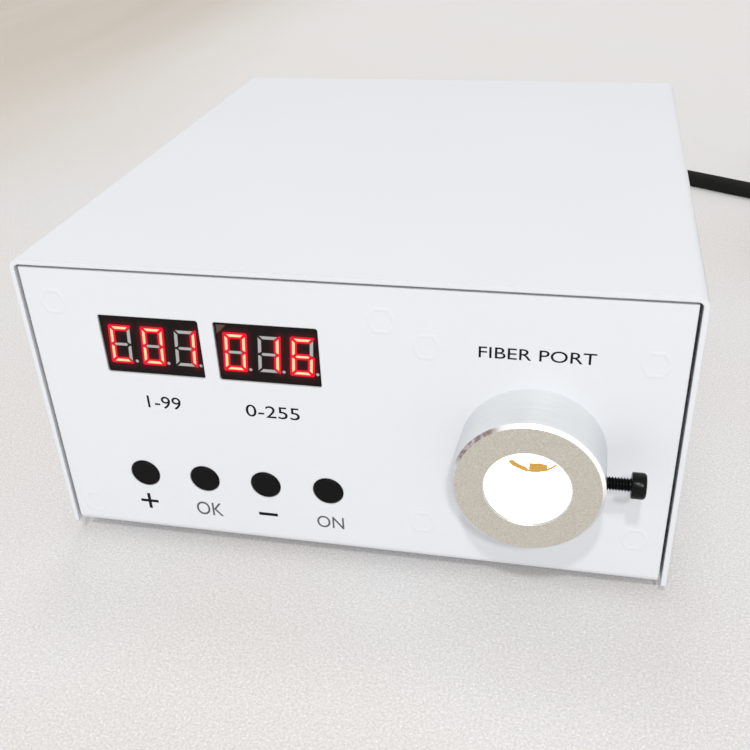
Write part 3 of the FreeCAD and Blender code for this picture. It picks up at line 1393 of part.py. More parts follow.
def rounded_path(points):
    """Straight runs through the points, joined by arcs as large as the runs allow, and the arcs' radii."""
    edges = []
    here = points[0]
    radii = []
    for before, corner, after in zip(points, points[1:], points[2:]):
        way_in = (corner - before).normalize()
        way_out = (after - corner).normalize()
        half_turn = way_in.getAngle(way_out) / 2
        reach = 0.45 * min((corner - before).Length, (after - corner).Length)
        radii.append(reach / math.tan(half_turn))
        start = corner - way_in * reach
        end = corner + way_out * reach
        towards = (way_out - way_in).normalize()
        middle = corner + towards * (radii[-1] / math.cos(half_turn) - radii[-1])
        edges.append(Part.LineSegment(here, start).toShape())
        edges.append(Part.Arc(start, middle, end).toShape())
        here = end
    edges.append(Part.LineSegment(here, points[-1]).toShape())
    return edges, radii


def make_free_cord():
    edges, radii = rounded_path([gland_end()] + [Vector(*spot) for spot in CORD_ROUTE])
    print("cord bends, mm:", " ".join(f"{radius:.0f}" for radius in radii))
    solid, length = swept_cord(edges)
    shaped_piece("mains_cord", solid)
    return length


def arc_from(start, way, end):
    """The arc that leaves start along way and reaches end, and the way it has there."""
    chord = end - start
    ahead = chord.dot(way)
    side = chord - way * ahead
    reach = side.Length
    side = side.normalize()
    radius = chord.dot(chord) / (2 * reach)
    half_turn = math.atan2(reach, ahead)
    middle = start + side * radius * (1 - math.cos(half_turn)) + way * radius * math.sin(half_turn)
    way_out = way * math.cos(2 * half_turn) + side * math.sin(2 * half_turn)
    return Part.Arc(start, middle, end).toShape(), way_out


def smooth_pair(start, way, end, way_out):
    """Two arcs that leave start along way, meet smoothly and reach end along way_out."""
    chord = end - start
    both = way + way_out
    a = 2 * (1 - way.dot(way_out))
    b = chord.dot(both)
    reach = (math.sqrt(b * b + a * chord.dot(chord)) - b) / a
    joint = (start + way * reach + end - way_out * reach) * 0.5
    first, way_there = arc_from(start, way, joint)
    second, _ = arc_from(joint, way_there, end)
    return [first, second]


def coil_radius(half_turn):
    """Distance from the coil's middle: in to the innermost turn, then out again on a second layer."""
    steps = TURNS_IN - half_turn if half_turn <= TURNS_IN else half_turn - TURNS_IN + 1
    return float(s.coil_inner) + steps * float(s.coil_pitch) / 2


def coil_points():
    """Where the spiral crosses its middle line, one point for each half turn."""
    centre = Vector(*CORD_ROUTE[-1]) + Vector(0, coil_radius(0), 0)
    points = []
    for i in range(TURNS_IN + TURNS_OUT + 1):
        side = -1 if i % 2 == 0 else 1
        lift = 0 if i < TURNS_IN else float(s.coil_pitch)
        points.append(centre + Vector(0, side * coil_radius(i), lift))
    return points


def make_coil():
    points = coil_points()
    ahead = Vector(1, 0, 0)
    straight = 2 * float(s.cord_radius)
    begin = points[0] + ahead * straight
    edges = [Part.LineSegment(points[0], begin).toShape()]
    points = [begin] + [point + ahead * straight for point in points[1:]]
    for i, (start, end) in enumerate(zip(points, points[1:])):
        way = ahead if i % 2 == 0 else -ahead
        edges += smooth_pair(start, way, end, -way)
    back = Vector(0, -1, 0)
    last = points[-1]
    left_x = begin.x - coil_radius(TURNS_IN + TURNS_OUT) - float(s.coil_pitch) / 4
    quarter = Vector(left_x, (points[0].y + points[1].y) / 2 + float(s.coil_pitch) / 4, last.z)
    edges += smooth_pair(last, -ahead, quarter, back)
    plug_z = float(s.plug_half_height)
    near_plug = Vector(quarter.x + float(s.tail_bow), quarter.y - float(s.tail_length) + straight, plug_z)
    edges += tail_arcs(quarter, back, near_plug)
    end = near_plug + back * straight
    edges.append(Part.LineSegment(near_plug, end).toShape())
    solid, length = swept_cord(edges)
    shaped_piece("cord_coil", solid)
    print(f"coil's least gap to itself {least_gap(edges):.2f} mm")
    return end, length


def tail_arcs(start, way, end):
    """An S of two arcs between two parallel ways."""
    middle = (start + end) * 0.5
    first, there = arc_from(start, way, middle)
    second, _ = arc_from(middle, there, end)
    return [first, second]


def least_gap(edges):
    """Between surfaces of the cord's turns, measured on points about 3 mm apart."""
    spots = []
    travelled = 0.0
    for edge in edges:
        count = max(2, int(edge.Length / 3))
        for spot in edge.discretize(count)[:-1]:
            spots.append((travelled, spot))
            travelled += edge.Length / (count - 1)
    apart = 8 * float(s.cord_radius)
    nearest = min((a - b).Length for i, (at, a) in enumerate(spots) for bt, b in spots[i + 1:]
                  if bt - at > apart)
    return nearest - 2 * float(s.cord_radius)


def make_plug(start):
    """A moulded plug with two blades and a round earth pin, drawn about the cord's end."""
    body = new_body("plug_body_shape")
    sleeve = sketch_on(body, "plug_sleeve_profile", "XZ_Plane")
    sleeve_end = s.plug_sleeve + s.plug_joint
    outline(sleeve, [
        (0, 0), (0, s.cord_radius + s.sleeve_wall), (sleeve_end, s.plug_neck_radius), (sleeve_end, 0),
    ])
    revolve(body, "plug_sleeve_turned", sleeve)
    half_w, half_h = s.plug_half_width, s.plug_half_height
    block = sketch_on(body, "plug_block_outline", "YZ_Plane", offset=s.plug_sleeve)
    rectangle(block, (-half_w, -half_h), (half_w, half_h))
    block_pad = pad(body, "plug_block", block, s.plug_length)
    doc.recompute()
    corners = [(i * half_w, j * half_h) for i in (-1, 1) for j in (-1, 1)]
    long_edges = edges_along(block_pad.Shape, "x", corners)
    rounded = fillet(body, "plug_block_sides", block_pad, long_edges, s.plug_rounding)
    doc.recompute()
    shoulder = []
    for number, edge in enumerate(rounded.Shape.Edges, start=1):
        extent = edge.BoundBox
        flat = max(abs(end - float(s.plug_sleeve)) for end in (extent.XMin, extent.XMax)) < 1e-3
        outside = max(extent.YMax, -extent.YMin, extent.ZMax, -extent.ZMin) > float(s.plug_neck_radius) + 1
        if flat and outside:
            shoulder.append(f"Edge{number}")
    fillet(body, "plug_shoulder", rounded, shoulder, s.plug_shoulder)
    piece_by_cord("plug_body", body, start)
    end_x = s.plug_sleeve + s.plug_length
    blades = [box(f"plug_blade_{i}",
                  (end_x, side * s.blade_side - s.blade_thickness / 2, s.blade_rise - s.blade_width / 2),
                  (end_x + s.blade_length, side * s.blade_side + s.blade_thickness / 2,
                   s.blade_rise + s.blade_width / 2)) for i, side in enumerate((-1, 1))]
    earth = rod("plug_earth", "x", (end_x, Size.of(0), s.blade_rise - s.earth_pin_drop),
                s.blade_length + s.earth_pin_reach, s.earth_pin_radius)
    piece_by_cord("plug_pins", group("plug_pin_set", blades + [earth]), start)


def piece_by_cord(label, solid, start):
    """Names a piece of the plug and puts it on the cord's end, where the cord runs forward."""
    solid.Placement = FreeCAD.Placement(start, FreeCAD.Rotation(Vector(0, 0, 1), -90))
    bind(solid, "Placement.Base.z", s.plug_half_height)
    solid.Label = label
    pieces.append(solid)


def main():
    make_cover()
    make_chassis()
    make_cover_screws()
    make_feet()
    make_collar()
    make_collar_screws()
    make_clamp_screw()
    make_studs()
    make_heat_sink()
    make_lamp()
    make_fan_frame()
    make_fan_rotor()
    make_fan_motor()
    make_fan_screws()
    make_displays()
    make_control_board()
    make_keys()
    make_supply_board()
    make_transformer()
    make_capacitors()
    make_terminals()
    make_fuse()
    make_switching()
    make_rocker()
    make_gland()
    make_earth_point()
    make_mains_leads()
    make_signal_leads()
    free_length = make_free_cord()
    plug_start, coil_length = make_coil()
    make_plug(plug_start)
    print(f"mains cord {free_length + coil_length:.0f} mm from gland to plug")
    doc.recompute()
    for item in doc.Objects:
        if "Invalid" in item.State or "Error" in item.State:
            raise RuntimeError(f"{item.Name} ({item.Label}) did not come out: {item.State}")
    for solid in pieces:
        if solid.Shape.isNull() or not solid.Shape.isValid():
            raise RuntimeError(f"{solid.Label} has no sound shape")
    os.makedirs("parts", exist_ok=True)
    for solid in pieces:
        box_of = solid.Shape.BoundBox
        print(f"{solid.Label:24s} solids {len(solid.Shape.Solids):3d} volume {solid.Shape.Volume:10.1f} "
              f"x {box_of.XMin:8.2f} {box_of.XMax:8.2f} y {box_of.YMin:8.2f} {box_of.YMax:8.2f} "
              f"z {box_of.ZMin:7.2f} {box_of.ZMax:7.2f}")
        solid.Shape.exportStep(f"parts/{solid.Label}.step")
    print("shift", float(shift_y))


main()
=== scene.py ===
import json
import math

import bmesh
import bpy
from mathutils import Matrix, Vector
from mathutils.kdtree import KDTree


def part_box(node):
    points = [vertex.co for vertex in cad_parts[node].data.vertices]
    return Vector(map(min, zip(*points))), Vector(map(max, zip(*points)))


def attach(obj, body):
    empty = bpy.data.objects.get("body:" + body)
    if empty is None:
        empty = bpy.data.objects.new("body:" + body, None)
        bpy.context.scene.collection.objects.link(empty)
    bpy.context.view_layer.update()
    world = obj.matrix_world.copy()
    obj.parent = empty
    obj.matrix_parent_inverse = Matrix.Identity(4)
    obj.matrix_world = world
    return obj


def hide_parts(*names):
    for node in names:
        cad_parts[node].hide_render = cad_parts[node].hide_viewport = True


# A light source for light guides: a finish for every piece, and finer shapes for the mains cord,
# the screws, the displays, the print on the panel and the marks on the rocker.
# Lengths are in metres, in the frame's own axes: +X right, +Y from front to rear, +Z up.

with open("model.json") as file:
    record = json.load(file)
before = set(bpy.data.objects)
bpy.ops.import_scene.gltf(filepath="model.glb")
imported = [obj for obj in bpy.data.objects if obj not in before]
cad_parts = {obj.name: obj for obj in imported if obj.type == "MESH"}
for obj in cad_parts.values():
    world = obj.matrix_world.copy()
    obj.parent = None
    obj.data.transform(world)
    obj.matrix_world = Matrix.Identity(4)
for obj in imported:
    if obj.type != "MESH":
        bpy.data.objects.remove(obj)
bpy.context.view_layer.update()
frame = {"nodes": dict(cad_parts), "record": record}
nodes = frame["nodes"]
MM = 0.001


def millimetres(*numbers):
    return tuple(number * MM for number in numbers)


def middle_of(node):
    low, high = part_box(node)
    return [(a + b) / 2 for a, b in zip(low, high)]


# Places read from the frame
CASE_LOW, CASE_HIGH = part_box("cover")
PANEL_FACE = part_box("chassis")[0][1]
COLLAR_LOW, COLLAR_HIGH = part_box("port_collar")
PORT_X, _, PORT_Z = middle_of("port_collar")
COLLAR_RADIUS = (COLLAR_HIGH[0] - COLLAR_LOW[0]) / 2
COLLAR_FACE = COLLAR_LOW[1]
CASE_BOTTOM = CASE_LOW[2]
FILM_CORNER = (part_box("display_right")[0][0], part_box("display_right")[1][2])


# Camera, solved from the photo's edges: azimuth, elevation and roll in degrees
CAMERA_ANGLES = (13.385, 32.038, -2.526)
CAMERA_PLACE = (0.049188, -0.246903, 0.155094)
FOCAL_LENGTH = 45.94
LENS_SHIFT = (-0.0075, 0.0427)


def make_camera():
    azimuth, elevation, roll = (math.radians(angle) for angle in CAMERA_ANGLES)
    lens = bpy.data.cameras.new("camera")
    lens.lens = FOCAL_LENGTH
    lens.sensor_width = 36.0
    lens.shift_x, lens.shift_y = LENS_SHIFT
    lens.clip_start = 0.01
    lens.clip_end = 20.0
    camera = bpy.data.objects.new("camera", lens)
    bpy.context.scene.collection.objects.link(camera)
    turn = Matrix.Rotation(azimuth, 3, "Z")
    turn = turn @ Matrix.Rotation(math.pi / 2 - elevation, 3, "X") @ Matrix.Rotation(roll, 3, "Z")
    camera.rotation_euler = turn.to_euler()
    camera.location = CAMERA_PLACE
    bpy.context.scene.camera = camera


# Mains cord: a free stretch on the bench, then a round coil and the plug
CORD_RADIUS = 3.35 * MM
CORD_SMOOTHNESS = 6
CORD_ROUTE = [
    millimetres(-50.0, 117.78, 21.5),
    millimetres(-50.0, 140.0, 21.5),
    millimetres(-47.0, 163.0, 12.0),
    millimetres(-40.0, 187.0, 3.35),
    millimetres(-22.0, 212.0, 3.35),
    millimetres(6.0, 231.0, 3.35),
    millimetres(42.0, 232.0, 3.35),
    millimetres(84.0, 214.1, 3.35),
    millimetres(131.0, 186.2, 3.35),
    millimetres(158.0, 178.0, 3.35),
    millimetres(182.0, 178.0, 3.35),
]
COIL_CENTRE = Vector(millimetres(188.7, 223.25, 3.35))
COIL_INNER = 27.0 * MM
COIL_PITCH = 7.3 * MM
TURNS_IN = 5
HALF_TURNS = 9.5
POINTS_PER_HALF = 10
COIL_END = [
    millimetres(141.6, 208.0, 10.65),
    millimetres(142.8, 190.0, 11.4),
    millimetres(144.6, 176.0, 12.3),
    millimetres(144.6, 164.5, 12.3),
]


def coil_radius(half_turn):
    """Radius on the coil's middle line: in to the innermost turn, then out on a second layer."""
    steps = TURNS_IN - half_turn if half_turn <= TURNS_IN else half_turn - TURNS_IN + 1
    return COIL_INNER + steps * COIL_PITCH / 2


def coil_points():
    points = []
    chord_cut = (1 + math.cos(math.pi / POINTS_PER_HALF / 2)) / 2
    for i in range(1, round(HALF_TURNS * POINTS_PER_HALF) + 1):
        half_turn, part = divmod(i / POINTS_PER_HALF, 1)
        radius = coil_radius(half_turn) * (1 - part) + coil_radius(half_turn + 1) * part
        lift = 0 if half_turn < TURNS_IN - 1 else COIL_PITCH
        if half_turn == TURNS_IN - 1:
            lift *= part * part * (3 - 2 * part)
        angle = math.pi * i / POINTS_PER_HALF - math.pi / 2
        spoke = Vector((math.cos(angle), math.sin(angle), 0)) * radius / chord_cut
        points.append(COIL_CENTRE + spoke + Vector((0, 0, lift)))
    return points


def make_cord(finish):
    curve = bpy.data.curves.new("mains_cord_curve", "CURVE")
    curve.dimensions = "3D"
    curve.bevel_depth = CORD_RADIUS
    curve.bevel_resolution = CORD_SMOOTHNESS
    curve.resolution_u = CORD_SMOOTHNESS
    curve.use_fill_caps = True
    points = CORD_ROUTE + coil_points() + COIL_END
    spline = curve.splines.new("NURBS")
    spline.points.add(len(points) - 1)
    for place, point in zip(spline.points, points):
        place.co = (*point, 1.0)
    spline.order_u = 3
    spline.use_endpoint_u = True
    spline.resolution_u = CORD_SMOOTHNESS
    cord = bpy.data.objects.new("mains_cord_line", curve)
    bpy.context.scene.collection.objects.link(cord)
    curve.materials.append(finish)
    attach(cord, "case")
    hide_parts("mains_cord", "cord_coil")


# Finishes
BLACK = (0, 0, 0)
GRAIN = 0.6 * MM


class Sum:
    """A shader value on which Python's operators add Math nodes."""

    def __init__(self, finish, socket):
        self.finish = finish
        self.socket = socket

    def math(self, operation, *values):
        inputs = dict(enumerate(values))
        node = self.finish.add("ShaderNodeMath", {"operation": operation}, inputs)
        return Sum(self.finish, node.outputs[0])

    def __add__(self, other):
        return self.math("ADD", self, other)

    def __radd__(self, other):
        return self.math("ADD", other, self)

    def __sub__(self, other):
        return self.math("SUBTRACT", self, other)

    def __rsub__(self, other):
        return self.math("SUBTRACT", other, self)

    def __mul__(self, other):
        return self.math("MULTIPLY", self, other)

    def __rmul__(self, other):
        return self.math("MULTIPLY", other, self)

    def __truediv__(self, other):
        return self.math("DIVIDE", self, other)

    def __pow__(self, other):
        return self.math("POWER", self, other)

    def far(self, *others):
        """The largest distance from 0 among these values."""
        largest = self.math("ABSOLUTE", self)
        for other in others:
            largest = self.math("MAXIMUM", largest, self.math("ABSOLUTE", other))
        return largest

    def above(self, level, blur):
        """0 below the level and 1 above it, with a soft edge this wide."""
        settings = {"interpolation_type": "SMOOTHSTEP"}
        inputs = {"Value": self, "From Min": level - blur / 2, "From Max": level + blur / 2}
        node = self.finish.add("ShaderNodeMapRange", settings, inputs)
        return Sum(self.finish, node.outputs["Result"])

    def below(self, level, blur):
        """1 below the level and 0 above it."""
        return 1 - self.above(level, blur)


class Finish:
    """A material whose colours, roughness and relief come from nodes on Object coordinates."""

    def __init__(self, name, **constants):
        self.material = bpy.data.materials.new(name)
        self.material.use_nodes = True
        self.tree = self.material.node_tree
        self.surface = next(node for node in self.tree.nodes if node.type == "BSDF_PRINCIPLED")
        self.set(**constants)
        self.place = self.add("ShaderNodeTexCoord").outputs["Object"]

    def add(self, kind, settings=None, inputs=None):
        node = self.tree.nodes.new(kind)
        for name, value in (settings or {}).items():
            setattr(node, name, value)
        for name, value in (inputs or {}).items():
            self.feed(node.inputs[name], value)
        return node

    def feed(self, socket, value):
        if isinstance(value, Sum):
            value = value.socket
        if isinstance(value, bpy.types.NodeSocket):
            self.tree.links.new(value, socket)
        else:
            socket.default_value = value

    def axes(self):
        parts = self.add("ShaderNodeSeparateXYZ", inputs={"Vector": self.place})
        return [Sum(self, parts.outputs[letter]) for letter in "XYZ"]

    def attribute(self, name):
        """A number that the mesh carries at its points."""
        node = self.add("ShaderNodeAttribute", {"attribute_name": name})
        return Sum(self, node.outputs["Fac"])

    def noise(self, size, detail=2.0, stretch=(1, 1, 1), roughness=0.5):
        """Soft random spots about this size, from 0 to 1."""
        scaled = self.add("ShaderNodeMapping", inputs={"Vector": self.place, "Scale": stretch})
        inputs = {"Vector": scaled.outputs[0], "Scale": 1 / size, "Detail": detail,
                  "Roughness": roughness}
        return Sum(self, self.add("ShaderNodeTexNoise", inputs=inputs).outputs["Fac"])

    def mix(self, factor, first, second):
        """The first colour where the factor is 0 and the second where it is 1."""
        inputs = {"Factor": factor, 6: colour_of(first), 7: colour_of(second)}
        return self.add("ShaderNodeMix", {"data_type": "RGBA"}, inputs).outputs[2]

    def set(self, **inputs):
        for name, value in inputs.items():
            self.feed(self.surface.inputs[name.replace("_", " ")], value)

    def relief(self, height, depth, rounding=None):
        """Bumps of this depth, on edges rounded by a small radius where one is given."""
        inputs = {"Height": height, "Distance": depth, "Strength": 1.0}
        if rounding:
            soft = self.add("ShaderNodeBevel", {"samples": 4}, {"Radius": rounding})
            inputs["Normal"] = soft.outputs["Normal"]
        self.set(Normal=self.add("ShaderNodeBump", inputs=inputs).outputs["Normal"])


def colour_of(value):
    """A colour with its alpha, or a socket as it is."""
    return value if isinstance(value, bpy.types.NodeSocket) else (*value, 1.0)


def shade(colour, factor):
    return tuple(channel * factor for channel in colour)


def plain_finish(name, colour, roughness, mottle=0.08, depth=0.02 * MM, **constants):
    """Mottled colour, uneven sheen and a fine grain, for most of the pieces."""
    finish = Finish(name, **constants)
    cloud = finish.noise(GRAIN * 12)
    fine = finish.noise(GRAIN)
    finish.set(Base_Color=finish.mix(cloud, shade(colour, 1 - mottle), shade(colour, 1 + mottle)),
               Roughness=roughness + (fine - 0.5) * 0.12)
    finish.relief(fine, depth)
    return finish.material


# Witness marks of the panel's studs in its paint: x and the rise above the case's bottom, in millimetres
WITNESS_MARKS = [
    (-64.6, 62.2), (-66.1, 6.7), (9.3, 62.5), (18.7, 57.1), (64.7, 56.6), (17.3, 11.0),
    (64.8, 12.2),
]
MARK_INNER = 2.2 * MM
MARK_OUTER = 2.9 * MM
MARK_BLUR = 0.5 * MM


def witness_marks(finish):
    """1 on the outlines of faint hexagons in the front panel, and 0 off them."""
    x, y, z = finish.axes()
    marks = 0.0
    for mark_x, rise in WITNESS_MARKS:
        side = x - mark_x * MM
        up = z - (CASE_BOTTOM + rise * MM)
        slant_up = side * 0.866 + up * 0.5
        slant_down = side * 0.866 - up * 0.5
        across = side.far(up, slant_up, slant_down)
        marks = marks + across.below(MARK_OUTER, MARK_BLUR) * across.above(MARK_INNER, MARK_BLUR)
    return marks * y.below(PANEL_FACE + 0.3 * MM, 0.1 * MM)


def powder_coat():
    """White paint with a soft orange peel, and witness marks four times as deep."""
    finish = Finish("white_powder_coat", IOR=1.45)
    orange_peel = finish.noise(0.9 * MM, detail=3.0)
    cloud = finish.noise(40 * MM)
    finish.set(Base_Color=finish.mix(cloud, (0.765, 0.785, 0.815), (0.785, 0.805, 0.835)),
               Roughness=0.36 + (orange_peel - 0.5) * 0.16)
    finish.relief(orange_peel + witness_marks(finish) * 4.0, 0.015 * MM, rounding=0.35 * MM)
    return finish.material


def from_port_axis(finish):
    """Offsets and distance from the light port's axis."""
    x, _, z = finish.axes()
    side, up = x - PORT_X, z - PORT_Z
    return side, up, (side * side + up * up) ** 0.5


def towards(side, up, radius, degrees):
    """1 on the ray from the port's axis at this angle, 0 square to it and -1 opposite."""
    angle = math.radians(degrees)
    return (side * math.cos(angle) + up * math.sin(angle)) / radius


# Collar of the light port, with angles in degrees round its axis, anticlockwise from the right
BORE_RADIUS = 8.85 * MM
CHAMFER_DEPTH = 0.80 * MM
CHAMFER_WIDTH = 1.5 * MM
MOUTH_DEPTH = 0.45 * MM
# Angles of the chamfer's painted highlight and of its painted dark reflection
HIGHLIGHT_AT = 57
DARK_REFLECTION_AT = 138


def turned_aluminium():
    """Satin turned side with painted shade on its flanks, blasted warm face, a chamfer with a painted
    highlight and a brown painted dark reflection, and a bore that glows with painted light.
    """
    finish = Finish("turned_aluminium", Metallic=0.6, Emission_Strength=1.0)
    _, y, _ = finish.axes()
    side, up, radius = from_port_axis(finish)
    face = y.below(COLLAR_FACE + 0.05 * MM, 0.05 * MM)
    front = y.below(COLLAR_FACE + CHAMFER_DEPTH, 0.05 * MM)
    rim = radius.above(COLLAR_RADIUS - CHAMFER_WIDTH, 0.1 * MM)
    chamfer = front * rim * (1 - face)
    # Painted highlight: the chamfer is whitened on the side that faces the lamps
    painted_highlight = chamfer * towards(side, up, radius, HIGHLIGHT_AT).above(0.6, 0.4)
    # Painted dark reflection: patchy brown on the chamfer's upper left, where it mirrors a dark room
    painted_dark_reflection = chamfer * towards(side, up, radius, DARK_REFLECTION_AT).above(0.93, 0.08)
    inside = radius.below(BORE_RADIUS + 0.1 * MM, 0.05 * MM)
    mouth = inside * y.below(COLLAR_FACE + MOUTH_DEPTH, 0.2 * MM)
    # Painted light: the bore's walls glow as if lit by the lamp inside
    bore = inside - mouth
    # Painted shade: the turned side darkens towards its left and right flanks
    painted_flank_shade = (side / radius).far().above(0.85, 0.4)
    rings = finish.noise(0.25 * MM, stretch=(0.02, 1, 0.02))
    speckle = finish.noise(0.22 * MM, detail=3.0, roughness=0.6)
    pits = finish.noise(0.5 * MM).above(0.76, 0.05)
    patchy_dark_reflection = painted_dark_reflection * finish.noise(1.2 * MM).above(0.4, 0.5)
    side_colour = finish.mix(rings, (0.74, 0.76, 0.77), (0.87, 0.89, 0.90))
    side_colour = finish.mix(painted_flank_shade * 0.5, side_colour, (0.58, 0.62, 0.67))
    side_colour = finish.mix(painted_highlight, side_colour, (0.98, 0.98, 0.96))
    # Brown of the painted dark reflection
    side_colour = finish.mix(patchy_dark_reflection, side_colour, (0.30, 0.21, 0.19))
    side_colour = finish.mix(mouth, side_colour, (0.42, 0.41, 0.39))
    grit = finish.mix(speckle.above(0.5, 0.5), (0.49, 0.46, 0.40), (0.71, 0.68, 0.61))
    face_colour = finish.mix(pits, grit, (0.30, 0.25, 0.24))
    # The painted highlight also glows a little
    glow = finish.mix(painted_highlight, BLACK, (0.22, 0.22, 0.21))
    # Emission carries the painted highlight's glow and the bore's painted light
    finish.set(Base_Color=finish.mix(face, side_colour, face_colour), Roughness=0.34 + face * 0.22,
               Emission_Color=finish.mix(bore, glow, (1.0, 0.98, 0.94)))
    finish.relief(rings * (1 - face) + speckle * face, 0.02 * MM)
    return finish.material


# Lamp in the port, with places as offsets from the port's axis
LAMP_RADIUS = 9.5 * MM
RING_INNER = 6.8 * MM
RING_OUTER = 7.30 * MM
RING_TOP = -4.6 * MM
BAR_MIDDLE = 1.3 * MM
BAR_HALF_WIDTH = 2.0 * MM
BAR_REACH = 6.95 * MM
BAR_TOP = -5.3 * MM


def amber_edge(finish):
    """1 where the lamp's edge shows amber, as a ring thicker on the left, and its contact, a bar."""
    side, up, radius = from_port_axis(finish)
    uneven = finish.noise(1.2 * MM) * 0.3 * MM
    thick = side.below(-1.0 * MM, 1.0 * MM) * 0.5 * MM
    outer = (radius + uneven).below(RING_OUTER, 0.1 * MM)
    ring = outer * (radius + thick).above(RING_INNER, 0.1 * MM)
    bar = (side - BAR_MIDDLE).far().below(BAR_HALF_WIDTH, 0.15 * MM)
    bar = bar * radius.below(BAR_REACH, 0.1 * MM) * up.below(BAR_TOP, 0.15 * MM)
    return ring.far(bar) * up.below(RING_TOP, 0.3 * MM)


def lamp_colours(finish, patch, plain, glare):
    """Surface and glow of a piece in the lamp: amber on its edge, and on the rest as given."""
    edge = amber_edge(finish)
    amber = finish.mix(patch, (0.48, 0.25, 0.01), (0.74, 0.40, 0.05))
    return finish.mix(edge, plain, BLACK), finish.mix(edge, glare, amber)


def phosphor():
    """Glaring white with an amber edge."""
    finish = Finish("phosphor", Roughness=0.4, Emission_Strength=1.0)
    patch = finish.noise(0.5 * MM, detail=3.0)
    surface, glow = lamp_colours(finish, patch, (0.9, 0.85, 0.7), (1.0, 0.97, 0.86))
    finish.set(Base_Color=surface, Emission_Color=glow)
    return finish.material


def white_plastic():
    """White mouldings; the lamp's own ring glares, with an amber edge."""
    finish = Finish("white_plastic", Roughness=0.5, Emission_Strength=1.0)
    _, _, radius = from_port_axis(finish)
    lit = radius.below(LAMP_RADIUS, 0.1 * MM)
    patch = finish.noise(0.5 * MM, detail=3.0)
    plain = finish.mix(patch, (0.76, 0.76, 0.73), (0.84, 0.84, 0.81))
    surface, glow = lamp_colours(finish, patch, plain, (1.0, 0.98, 0.92))
    finish.set(Base_Color=surface, Emission_Color=finish.mix(lit, BLACK, glow))
    finish.relief(patch, 0.02 * MM)
    return finish.material


# Finishes of the displays, with a corner of brown film left on the right one
FILM_SIZE = 3.2 * MM
FILM_SLANT = 1.05
FILM_MARGIN = 0.45 * MM
DIGIT_RED = (1.0, 0.0, 0.03)


def film_on_corner(finish):
    """1 on the film and 0 off it."""
    x, _, z = finish.axes()
    left, top = FILM_CORNER
    film = ((x - left) - (z - top) * FILM_SLANT).below(FILM_SIZE, 0.2 * MM)
    return film * x.above(left + FILM_MARGIN, 0.1 * MM) * z.below(top - FILM_MARGIN, 0.1 * MM)


def smoked_face():
    """Dark face whose red glow fades with the distance from the lit segments, in millimetres."""
    finish = Finish("display_face", Roughness=0.5, Emission_Strength=1.0, Specular_IOR_Level=0.08)
    distance = finish.attribute("glow")
    fine = finish.noise(0.3 * MM)
    near = distance.below(0.28, 0.22)
    haze = distance.below(0.9, 1.8)
    glow = near * 0.95 + haze * 0.05
    face = finish.mix(fine, (0.008, 0.005, 0.005), (0.014, 0.009, 0.009))
    finish.set(Base_Color=finish.mix(film_on_corner(finish), face, (0.11, 0.065, 0.05)),
               Emission_Color=finish.mix(glow, BLACK, DIGIT_RED))
    finish.relief(fine, 0.01 * MM)
    return finish.material


def lit_segment():
    """Pale yellow inside a red edge."""
    finish = Finish("segment_lit", Roughness=0.4, Emission_Strength=1.0, Specular_IOR_Level=0.05)
    core = finish.attribute("core").above(0.72, 0.5)
    patch = finish.noise(0.8 * MM)
    pale = finish.mix(patch, (1.0, 0.88, 0.50), (1.0, 0.76, 0.34))
    finish.set(Base_Color=finish.mix(core, (0.02, 0, 0), (0.2, 0.02, 0.01)),
               Emission_Color=finish.mix(core, DIGIT_RED, pale))
    return finish.material


def dark_segment():
    """Grey inside a darker edge."""
    finish = Finish("segment_dark", Roughness=0.5)
    core = finish.attribute("core").above(0.6, 0.5)
    patch = finish.noise(0.5 * MM)
    grey = finish.mix(patch, (0.36, 0.34, 0.33), (0.50, 0.47, 0.46))
    finish.set(Base_Color=finish.mix(core, (0.014, 0.010, 0.010), grey))
    return finish.material


# Colour and roughness of the plain finishes, and what else each of them needs
METALS = {
    "cast_fins": ((0.52, 0.53, 0.55), 0.42),
    "zinc_steel": ((0.58, 0.59, 0.60), 0.32),
    "nickel": ((0.70, 0.68, 0.64), 0.22),
    "copper": ((0.62, 0.30, 0.15), 0.35),
}
PLAIN_FINISHES = {
    "black_oxide": ((0.005, 0.006, 0.006), 0.25, {"Specular_IOR_Level": 0.12}),
    "black_rubber": ((0.008, 0.008, 0.007), 0.6, {"depth": 0.03 * MM, "Specular_IOR_Level": 0.15}),
    "black_plastic": ((0.022, 0.022, 0.024), 0.42, {}),
    "gloss_black": ((0.004, 0.004, 0.004), 0.5, {"Specular_IOR_Level": 0.1}),
    "circuit_green": ((0.02, 0.16, 0.06), 0.35, {}),
    "ferrite": ((0.05, 0.05, 0.055), 0.6, {}),
    "winding_tape": ((0.70, 0.42, 0.04), 0.4, {}),
    "capacitor_sleeve": ((0.02, 0.03, 0.08), 0.35, {}),
    "terminal_green": ((0.03, 0.22, 0.07), 0.45, {}),
    "fuse_glass": ((0.75, 0.80, 0.80), 0.12, {"mottle": 0.03}),
    "wire_brown": ((0.12, 0.045, 0.02), 0.5, {}),
    "wire_green": ((0.06, 0.25, 0.05), 0.5, {}),
    "wire_red": ((0.42, 0.03, 0.02), 0.5, {}),
    "wire_black": ((0.02, 0.02, 0.02), 0.5, {}),
}


def make_finishes():
    finishes = {
        "white_powder_coat": powder_coat(),
        "turned_aluminium": turned_aluminium(),
        "display_face": smoked_face(),
        "segment_lit": lit_segment(),
        "segment_dark": dark_segment(),
        "white_plastic": white_plastic(),
        "phosphor": phosphor(),
    }
    for name, (colour, roughness) in METALS.items():
        finishes[name] = plain_finish(name, colour, roughness, mottle=0.05, depth=0.008 * MM,
                                      Metallic=1.0)
    for name, (colour, roughness, others) in PLAIN_FINISHES.items():
        finishes[name] = plain_finish(name, colour, roughness, **others)
    return finishes


def paint(piece, finish):
    """One finish in place of whatever the piece has."""
    piece.data.materials.clear()
    piece.data.materials.append(finish)


